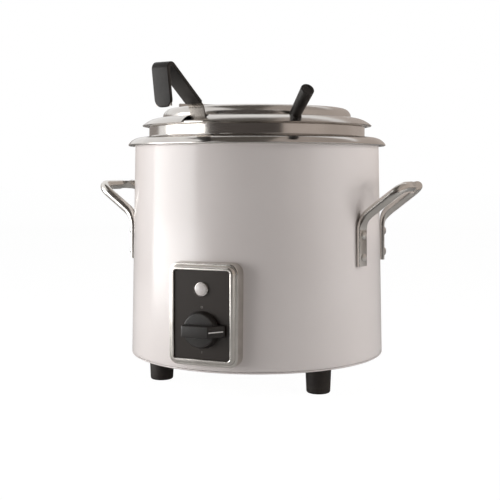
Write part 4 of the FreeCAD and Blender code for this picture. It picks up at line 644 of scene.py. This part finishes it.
# Inset pan: drawn from one stainless sheet, with a wide rounding at its floor.
# It hangs on the collar by its flange, whose edge is rolled to a bead.
INSET_RADIUS, INSET_WALL, INSET_CORNER, INSET_FLOOR = 130.0, 1.0, 22.0, 111.5
FLANGE_TOP, FLANGE_REACH, RIM_BEAD = 318.5, 138.4, 1.85
BEAD_AT = np.array([140.15, FLANGE_TOP + 0.5 - RIM_BEAD])
a = np.radians(np.linspace(135, -95, 20))
rim = BEAD_AT + RIM_BEAD * np.stack([np.cos(a), np.sin(a)], -1)
inner = outline(
    [
        (0, INSET_FLOOR, 0),
        (INSET_RADIUS, INSET_FLOOR, INSET_CORNER),
        (INSET_RADIUS, FLANGE_TOP, 3),
        (FLANGE_REACH, FLANGE_TOP, 0),
    ],
    closed=False, steps=12,
)
outer = outline(
    [
        (FLANGE_REACH + 0.2, FLANGE_TOP - INSET_WALL, 0),
        (INSET_RADIUS + INSET_WALL, FLANGE_TOP - INSET_WALL, 2),
        (INSET_RADIUS + INSET_WALL, INSET_FLOOR - INSET_WALL, INSET_CORNER + INSET_WALL),
        (0, INSET_FLOOR - INSET_WALL, 0),
    ],
    closed=False, steps=12,
)
grid = seated(turned(np.concatenate([inner, rim, outer]), 160), AXIS)
piece("inset_bowl", "inset", "stainless", steel, (grid, 0, 1), replaces=["inset_pan"])

# Lid: one spun stainless disc with a raised crown and a domed flange over the inset's rim, sawn across its
# middle into a fixed half and a flap. The flap's flange is notched for the ladle.
LID_TURN, LADLE_TURN, LID_SPLIT, LID_SHEET = 41.7, -9.8, 1.2, 1.0
DOME_R, DOME_Z, LID_DOME, LID_SKIRT = 121.0, 290.7, 35.8, 43.0
DOME_TOP = DOME_Z + LID_DOME
LID_TOP, CROWN_RADIUS, CROWN_CORNER = DOME_TOP + 11.95, 119.5, 11.0
NOTCH_HALF, NOTCH_REACH, NOTCH_ROUND = 15.0, 125.0, 6.0


def sheet(path, wall):
    """Section of a sheet: a path, then back along the same path moved by the wall to the right of its way."""
    along = unit(np.gradient(path, axis=0))
    return np.concatenate([path, (path + wall * along @ np.array([[0, -1], [1, 0]]))[::-1]])


def skirt_path(start, end, steps):
    """Part of the flange's dome between two angles below its top."""
    a = np.radians(90 - np.linspace(start, end, steps))
    return np.array([DOME_R, DOME_Z]) + LID_DOME * np.stack([np.cos(a), np.sin(a)], -1)


def saw_edge(section, side):
    """Turn from the lid's handle, at each radius, of the sawn edge: it stays half the cut from the middle."""
    return side * np.degrees(np.arccos(np.clip(LID_SPLIT / 2 / np.maximum(section[:, 0], LID_SPLIT), -1, 1)))


def notch_edge(section, side):
    """Turn of the notch's side at each radius: straight, with a rounded inner corner."""
    r = np.maximum(section[:, 0], NOTCH_REACH)
    short = np.clip(NOTCH_ROUND - (r - NOTCH_REACH), 0, NOTCH_ROUND)
    half = NOTCH_HALF - NOTCH_ROUND + np.sqrt(NOTCH_ROUND**2 - short**2)
    return LADLE_TURN - LID_TURN + side * np.degrees(np.arcsin(half / r))


def swept(section, start, end, columns, turn=LID_TURN):
    """Sheet section swept about the drum's axis between two turns that may change with the radius, and closed
    at both ends on the middle of the sheet."""
    t = np.linspace(0, 1, columns)
    turns = start[:, None] * (1 - t) + end[:, None] * t + turn
    grid = polar(section[:, :1], turns, section[:, 1:])
    first, last = grid[:, :1], grid[:, -1:]
    return np.concatenate([(first + first[::-1]) / 2, grid, (last + last[::-1]) / 2], 1)


lid_steel = spun("lid_steel", 0.14)
crown_path = outline(
    [
        (0.01, LID_TOP, 0),
        (CROWN_RADIUS, LID_TOP, CROWN_CORNER),
        (CROWN_RADIUS, DOME_TOP, 0.4),
        (DOME_R, DOME_TOP, 0),
    ],
    closed=False, steps=14,
)
crown = sheet(np.concatenate([np.linspace(crown_path[0], crown_path[1], 8)[:-1], crown_path[1:]]), LID_SHEET)
flange = sheet(skirt_path(0, LID_SKIRT, 44), LID_SHEET)
bridge = sheet(skirt_path(0, np.degrees(np.arcsin((NOTCH_REACH - DOME_R) / LID_DOME)), 8), LID_SHEET)
piece(
    "lid_flap_half", "lid_flap", "lid_steel", lid_steel,
    (swept(crown, saw_edge(crown, -1), saw_edge(crown, 1), 129), 1, 0),
    (swept(flange, saw_edge(flange, -1), notch_edge(flange, -1), 41), 1, 0),
    (swept(flange, notch_edge(flange, 1), saw_edge(flange, 1), 97), 1, 0),
    (swept(bridge, notch_edge(bridge, -1), notch_edge(bridge, 1), 13), 1, 0),
    replaces=["lid_front_half"],
)
piece(
    "lid_fixed_half", "lid", "lid_steel", lid_steel,
    (swept(crown, saw_edge(crown, -1), saw_edge(crown, 1), 129, LID_TURN + 180), 1, 0),
    (swept(flange, saw_edge(flange, -1), saw_edge(flange, 1), 129, LID_TURN + 180), 1, 0),
    replaces=["lid_rear_half"],
)

# Lid hinge: two folded stainless leaves whose knuckles roll around one pin, riveted down to the lid's halves.
# They keep their solids, as does the screw of the lid's handle, and take the lid's steel.
dress(lid_steel, ["hinge_leaf_rear", "hinge_leaf_front", "hinge_pin"])
dress(lid_steel, ["hinge_rivets_rear", "hinge_rivets_front", "lid_handle_screw"])

# Lid handle: black moulded bar that leans outwards from the flap, its foot cut to the flange and a screw from
# below. Its end is slightly dished.
LID_HANDLE_AT, LID_HANDLE_LENGTH, LID_HANDLE_DEEP, LID_HANDLE_RISE = 126.8, 46.0, 14.0, 35.4
LID_HANDLE_ROOT, LID_HANDLE_END, LID_HANDLE_ROUND, LID_HANDLE_DISH = 6.5, 7.9, 1.2, 1.0
black_moulding, shader, place = surface("black_moulding", Specular_IOR_Level=0.45)
grain = place.noise(700, 3)
feed(
    shader,
    Base_Color=place.noise(45).step(0.3, 0.7).tint((0.012, 0.0105, 0.009), (0.020, 0.017, 0.015)),
    Roughness=0.32 + 0.12 * grain,
    bump=(grain, 0.06, 0.0003),
)
rise = np.radians(LID_HANDLE_RISE)
outward = polar(1, LID_TURN) - AXIS
bar_way = outward * np.cos(rise) + UP * np.sin(rise)
bar_side = np.cross(UP, outward)
bar_up = np.cross(bar_way, bar_side)
bar_start = polar(LID_HANDLE_AT, LID_TURN, DOME_TOP - 1.2)
a = np.linspace(0, 2 * np.pi, 64, endpoint=False)[:, None]
ray = np.cos(a) * bar_side + np.sin(a) * bar_up


def bar_point(t):
    """Point of the bar's side at a distance along its axis; it widens evenly from its hidden root."""
    share = (t + LID_HANDLE_DEEP) / (LID_HANDLE_LENGTH + LID_HANDLE_DEEP)
    radius = LID_HANDLE_ROOT + (LID_HANDLE_END - LID_HANDLE_ROOT) * share
    return bar_start + t[..., None] * bar_way + radius[..., None] * ray


def above_lid(t):
    """Height of the bar's side over the lid's top surface at a distance along its axis."""
    spot = bar_point(t) - AXIS
    radius = np.hypot(spot[..., 0], spot[..., 1])
    drop = np.sqrt(np.maximum(LID_DOME**2 - np.clip(radius - DOME_R, 0, None) ** 2, 0))
    return spot[..., 2] - np.where(radius < CROWN_RADIUS, LID_TOP, DOME_Z + drop)


low, high = np.full(len(ray), -LID_HANDLE_DEEP), np.full(len(ray), LID_HANDLE_DEEP)
for _ in range(30):
    middle = (low + high) / 2
    buried = above_lid(middle) < 0
    low, high = np.where(buried, middle, low), np.where(buried, high, middle)
t = low + (LID_HANDLE_LENGTH - LID_HANDLE_ROUND - low) * np.linspace(0, 1, 14)[:, None]
side = bar_point(t)
tip = outline(
    [
        (LID_HANDLE_END - 0.03, -LID_HANDLE_ROUND, 0),
        (LID_HANDLE_END, 0, LID_HANDLE_ROUND),
        (5.2, 0, 0.4),
        (4.8, -LID_HANDLE_DISH, 0.6),
        (0, -LID_HANDLE_DISH, 0),
    ],
    closed=False,
)[1:]
tip = bar_start + (LID_HANDLE_LENGTH + tip[:, 1, None, None]) * bar_way + tip[:, 0, None, None] * ray
root = np.broadcast_to(side[0].mean(0), side[:1].shape)
grid = np.concatenate([root, side, tip])
piece("lid_grip", "lid_flap", "black_plastic", black_moulding, (grid, 0, 1), replaces=["lid_handle"])

# Ladle strip: satin stainless strap that leans on the inset's mouth, kinks outwards over the rim and folds
# down into a hook; its lower end is bent to the bowl.
LADLE_ANGLE, BOWL_WRAP, KINK_ANGLE, HOOK_ANGLE = 19.0, 26.0, 54.5, 189.0
STRIP_WIDTH, STRIP_SHEET, STRIP_EDGE, STRIP_REACH, SHANK_LENGTH = 21.0, 2.0, 0.5, 46.15, 202.0
KINK_RADIUS, UPPER_LENGTH, FOLD_RADIUS, HOOK_LENGTH = 10.0, 68.5, 6.0, 40.0
BOWL_S, BOWL_Z, BOWL_RADIUS = 25.0, 156.8, 45.0


def bent(start, heading, moves):
    """Path in the ladle's plane as (out, up, heading): moves are (0, length) or (turn in degrees, radius)."""
    path = [np.array([[start[0], start[1], heading]])]
    for turn, size in moves:
        s, z, heading = path[-1][-1]
        t = np.linspace(0, 1, 13)[1:]
        if turn == 0:
            a = np.radians(heading)
            path.append(np.stack([s + size * t * np.sin(a), z + size * t * np.cos(a), heading + 0 * t], -1))
            continue
        a, b = np.radians(heading), np.radians(heading + turn * t)
        signed = size * np.sign(turn)
        path.append(np.stack([
            s + signed * (np.cos(a) - np.cos(b)), z + signed * (np.sin(b) - np.sin(a)), heading + turn * t,
        ], -1))
    return np.concatenate(path)


def in_plane(path, section):
    """A section carried along a path of the ladle's plane."""
    a = np.radians(path[:, 2:])
    out = polar(1, LADLE_TURN) - AXIS
    normal = np.cos(a) * out - np.sin(a) * UP
    across = np.broadcast_to(np.cross(UP, out), normal.shape)
    return carried(AXIS + path[:, :1] * out + path[:, 1:2] * UP, across, normal, section)


def satin(name, light, dark, roughness):
    """Satin stainless: fine noise stretched along the strap's lean, and broad noise for its tone."""
    metal, shader, place = surface(name, Metallic=1.0)
    x, y, z = place.split()
    marks = x.joined(x * 1800, y * 60, z * 60).noise(1.0, 3, 0.6)
    smear = place.noise(30, 3)
    feed(
        shader,
        Base_Color=smear.step(0.3, 0.7).tint(dark, light),
        Roughness=roughness + 0.12 * marks,
        bump=(marks, 0.05, 0.0002),
    )
    return metal


ladle_steel = satin("ladle_steel", (0.27, 0.25, 0.225), (0.22, 0.20, 0.18), 0.22)
heading = LADLE_ANGLE + BOWL_WRAP
a = np.radians(heading)
strip_start = (BOWL_S + STRIP_REACH * np.cos(a), BOWL_Z - STRIP_REACH * np.sin(a))
to_kink = [(-BOWL_WRAP, STRIP_REACH), (0, SHANK_LENGTH), (KINK_ANGLE - LADLE_ANGLE, KINK_RADIUS)]
fold = (HOOK_ANGLE - KINK_ANGLE, FOLD_RADIUS)
strip_path = bent(strip_start, heading, to_kink + [(0, UPPER_LENGTH), fold, (0, HOOK_LENGTH)])
grid = in_plane(strip_path, oblong(STRIP_WIDTH, STRIP_SHEET, STRIP_EDGE, 4))
piece("ladle_strap", "ladle", "ladle_steel", ladle_steel, (grid, 0, 1), replaces=["ladle_strip"])

# Ladle bowl: half ball drawn from stainless sheet, with a rounded edge.
# Two rivets hold it to the strip's lower end.
BOWL_SHEET = 1.2
a = np.radians(np.linspace(-90, 0, 28))
ball = np.stack([np.cos(a), np.sin(a)], -1)
lip = np.radians(np.linspace(0, 180, 7)[1:-1])
lip = np.array([BOWL_RADIUS, 0]) + BOWL_SHEET / 2 * np.stack([np.cos(lip) - 1, np.sin(lip)], -1)
bowl = turned(np.concatenate([BOWL_RADIUS * ball, lip, (BOWL_RADIUS - BOWL_SHEET) * ball[::-1]]), 96)
lean = np.radians(LADLE_ANGLE)
bowl_out = polar(1, LADLE_TURN) - AXIS
bowl_axis = UP * np.cos(lean) + bowl_out * np.sin(lean)
grid = seated(bowl, AXIS + bowl_out * BOWL_S + UP * BOWL_Z, bowl_axis, np.cross(UP, bowl_out))
piece("ladle_cup", "ladle", "ladle_steel", ladle_steel, (grid, 0, 1), replaces=["ladle_bowl"])
dress(ladle_steel, ["ladle_rivets"])

# Ladle grip: black plastic moulded over the strap's upper run and hook.
# Its edges are softened and its end is round.
GRIP_WIDTH, GRIP_THICKNESS, GRIP_EDGE, GRIP_START, GRIP_TIP, GRIP_ROUND = 22.5, 4.5, 1.1, 3.0, 1.5, 9.0
grip_plastic, shader, place = surface("grip_plastic", Specular_IOR_Level=0.25)
grain = place.noise(650, 3)
feed(
    shader,
    Base_Color=place.noise(50).step(0.3, 0.7).tint((0.014, 0.0115, 0.0095), (0.024, 0.020, 0.0175)),
    Roughness=0.34 + 0.12 * grain,
    bump=(grain, 0.06, 0.0003),
)
kink_end = bent(strip_start, heading, to_kink + [(0, GRIP_START)])[-1]
to_end = [(0, UPPER_LENGTH - GRIP_START), fold, (0, HOOK_LENGTH + GRIP_TIP - GRIP_ROUND)]
grip_path = bent(kink_end[:2], kink_end[2], to_end)
round_end = bent(grip_path[-1, :2], grip_path[-1, 2], [(0, GRIP_ROUND)])
far = np.sin(np.linspace(0, np.pi / 2, 14))[1:, None]
round_end = round_end[:1] + (round_end[-1:] - round_end[:1]) * far
grip_path = np.concatenate([grip_path, round_end])
half = np.full(len(grip_path), GRIP_WIDTH / 2)
half[-len(far):] = GRIP_WIDTH / 2 - GRIP_ROUND * (1 - np.sqrt(np.maximum(1 - far[:, 0] ** 2, 0)))
section = oblong(GRIP_WIDTH, GRIP_THICKNESS, GRIP_EDGE, 6)
sections = np.repeat(section[None], len(grip_path), 0)
sections[..., 0] *= (half / (GRIP_WIDTH / 2))[:, None]
grid = in_plane(grip_path, sections)
piece("ladle_sleeve", "ladle", "grip_plastic", grip_plastic, (grid, 0, 1), replaces=["ladle_grip"])

# Studio: pale floor and white surround, a large soft box and a low one on the left and a weaker one on the
# right. Dark flats stand behind the camera and hang overhead, and grey ones on the right and at the back,
# for the steel to mirror.
CAMERA_TURN, CAMERA_DISTANCE, CAMERA_HEIGHT = 21.5, 1229.0, 262.5
FLAT_DISTANCE, FLAT_HEIGHT, FLOOR_HALF, SKY_LIGHT = 3400, 2600, 9000, 0.2
DARK, GREY = (0.085, 0.075, 0.070), (0.52, 0.46, 0.42)
to_camera = polar(1, CAMERA_TURN) - AXIS
to_right = polar(1, CAMERA_TURN + 90) - AXIS


def link(name, data, spot, aim):
    """Place a camera or lamp at a spot, aimed at a point, in mm."""
    thing = bpy.data.objects.new(name, data)
    thing.location = np.asarray(spot) * MM
    thing.rotation_euler = Vector(np.asarray(aim) - spot).to_track_quat("-Z", "Y").to_euler()
    bpy.context.scene.collection.objects.link(thing)
    return thing


def soft_box(name, turn, distance, height, aim_height, wide, tall, radiance):
    """Area lamp at a turn from the camera; its power in watts is its radiance times pi times its area."""
    lamp = bpy.data.lights.new(name, "AREA")
    lamp.shape = "RECTANGLE"
    lamp.size, lamp.size_y = wide * MM, tall * MM
    lamp.energy = radiance * np.pi * wide * tall * MM * MM
    return link(name, lamp, polar(distance, CAMERA_TURN + turn, height), polar(0.0, 0.0, aim_height))


soft_box("left_box", -79, 1400, 250, 160, 1300, 1000, 3.7)
soft_box("low_box", -72, 900, 80, 40, 1000, 160, 3.4)
right_box = soft_box("right_box", 72, 1600, 550, 250, 1300, 1300, 3.2)
right_box.visible_glossy = False


def backdrop(name, corners, colour):
    """Flat matt sheet of the studio, in mm, with its own paint: returns it and the paint's shader."""
    paint, shader, _ = surface(name, Base_Color=colour + (1,), Roughness=0.8, Specular_IOR_Level=0.2)
    mesh = bpy.data.meshes.new(name)
    mesh.from_pydata(np.asarray(corners) * MM, [], [(0, 1, 2, 3)])
    mesh.materials.append(paint)
    thing = bpy.data.objects.new(name, mesh)
    bpy.context.scene.collection.objects.link(thing)
    return thing, shader


def glowing(shader, ray, share, colour, strength):
    """Let a studio sheet give its own light, by a share, to one kind of ray."""
    tree = shader.id_data
    seen = Wire(tree.nodes.new("ShaderNodeLightPath").outputs[ray])
    glow = seen.node("ShaderNodeEmission", Color=colour + (1,), Strength=strength)
    paler = seen.node("ShaderNodeMixShader", _0=share * seen, _1=Wire(shader.outputs[0]), _2=glow)
    tree.links.new(paler.socket, tree.nodes["Material Output"].inputs["Surface"])


def mirrored(name, corners, colour):
    """Flat that the camera doesn't see and the steel mirrors in its own colour."""
    thing, shader = backdrop(name, corners, colour)
    thing.visible_camera = False
    glowing(shader, "Is Glossy Ray", 1.0, colour, 1.0)


def standing(name, first, last, tall, colour):
    """Flat that stands on the floor between two turns from the camera."""
    ends = [(first, 0), (last, 0), (last, tall), (first, tall)]
    mirrored(name, [polar(FLAT_DISTANCE, CAMERA_TURN + turn, z) for turn, z in ends], colour)


def hanging(name, left, right, back, colour):
    """Flat that hangs from over the camera to behind the kettle, its sides given from the axis."""
    ends = [(left, FLAT_HEIGHT), (right, FLAT_HEIGHT), (right, back), (left, back)]
    mirrored(name, [AXIS + to_right * u + to_camera * v + UP * FLAT_HEIGHT for u, v in ends], colour)


standing("dark_flat", -58, 26, FLAT_HEIGHT, DARK)
standing("grey_flat", 26, 110, FLAT_HEIGHT, GREY)
standing("grey_wing", 110, 170, FLAT_HEIGHT, GREY)
standing("rear_flat", -175, -124, 800, (0.33, 0.30, 0.28))
hanging("dark_canopy", -1200, 350, -1050, (0.11, 0.10, 0.09))
hanging("grey_canopy", 350, 4200, -1500, (0.42, 0.375, 0.345))

world = bpy.data.worlds.new("surround")
bpy.context.scene.world = world
world.use_nodes = True
background = world.node_tree.nodes["Background"]
background.inputs["Color"].default_value = (1, 1, 1, 1)
light_path = world.node_tree.nodes.new("ShaderNodeLightPath")
rays = [Wire(light_path.outputs[name]) for name in ("Is Camera Ray", "Is Glossy Ray", "Is Transmission Ray")]
strength = SKY_LIGHT + (1 - SKY_LIGHT) * (rays[0] + rays[1] + rays[2]).step(0.0, 1.0)
world.node_tree.links.new(strength.socket, background.inputs["Strength"])

corners = [(u * FLOOR_HALF, v * FLOOR_HALF, 0) for u, v in ((-1, -1), (1, -1), (1, 1), (-1, 1))]
_, shader = backdrop("floor", corners, (0.86, 0.86, 0.86))
glowing(shader, "Is Camera Ray", 0.9, (1, 1, 1), 1.08)

optics = bpy.data.cameras.new("camera")
optics.sensor_width = 36.0
optics.lens = 69.26
optics.shift_x = -0.014
optics.shift_y = -0.162
camera_at = polar(CAMERA_DISTANCE, CAMERA_TURN, CAMERA_HEIGHT)
bpy.context.scene.camera = link("camera", optics, camera_at, polar(0.0, 0.0, CAMERA_HEIGHT))
bpy.context.scene.view_settings.view_transform = "Standard"
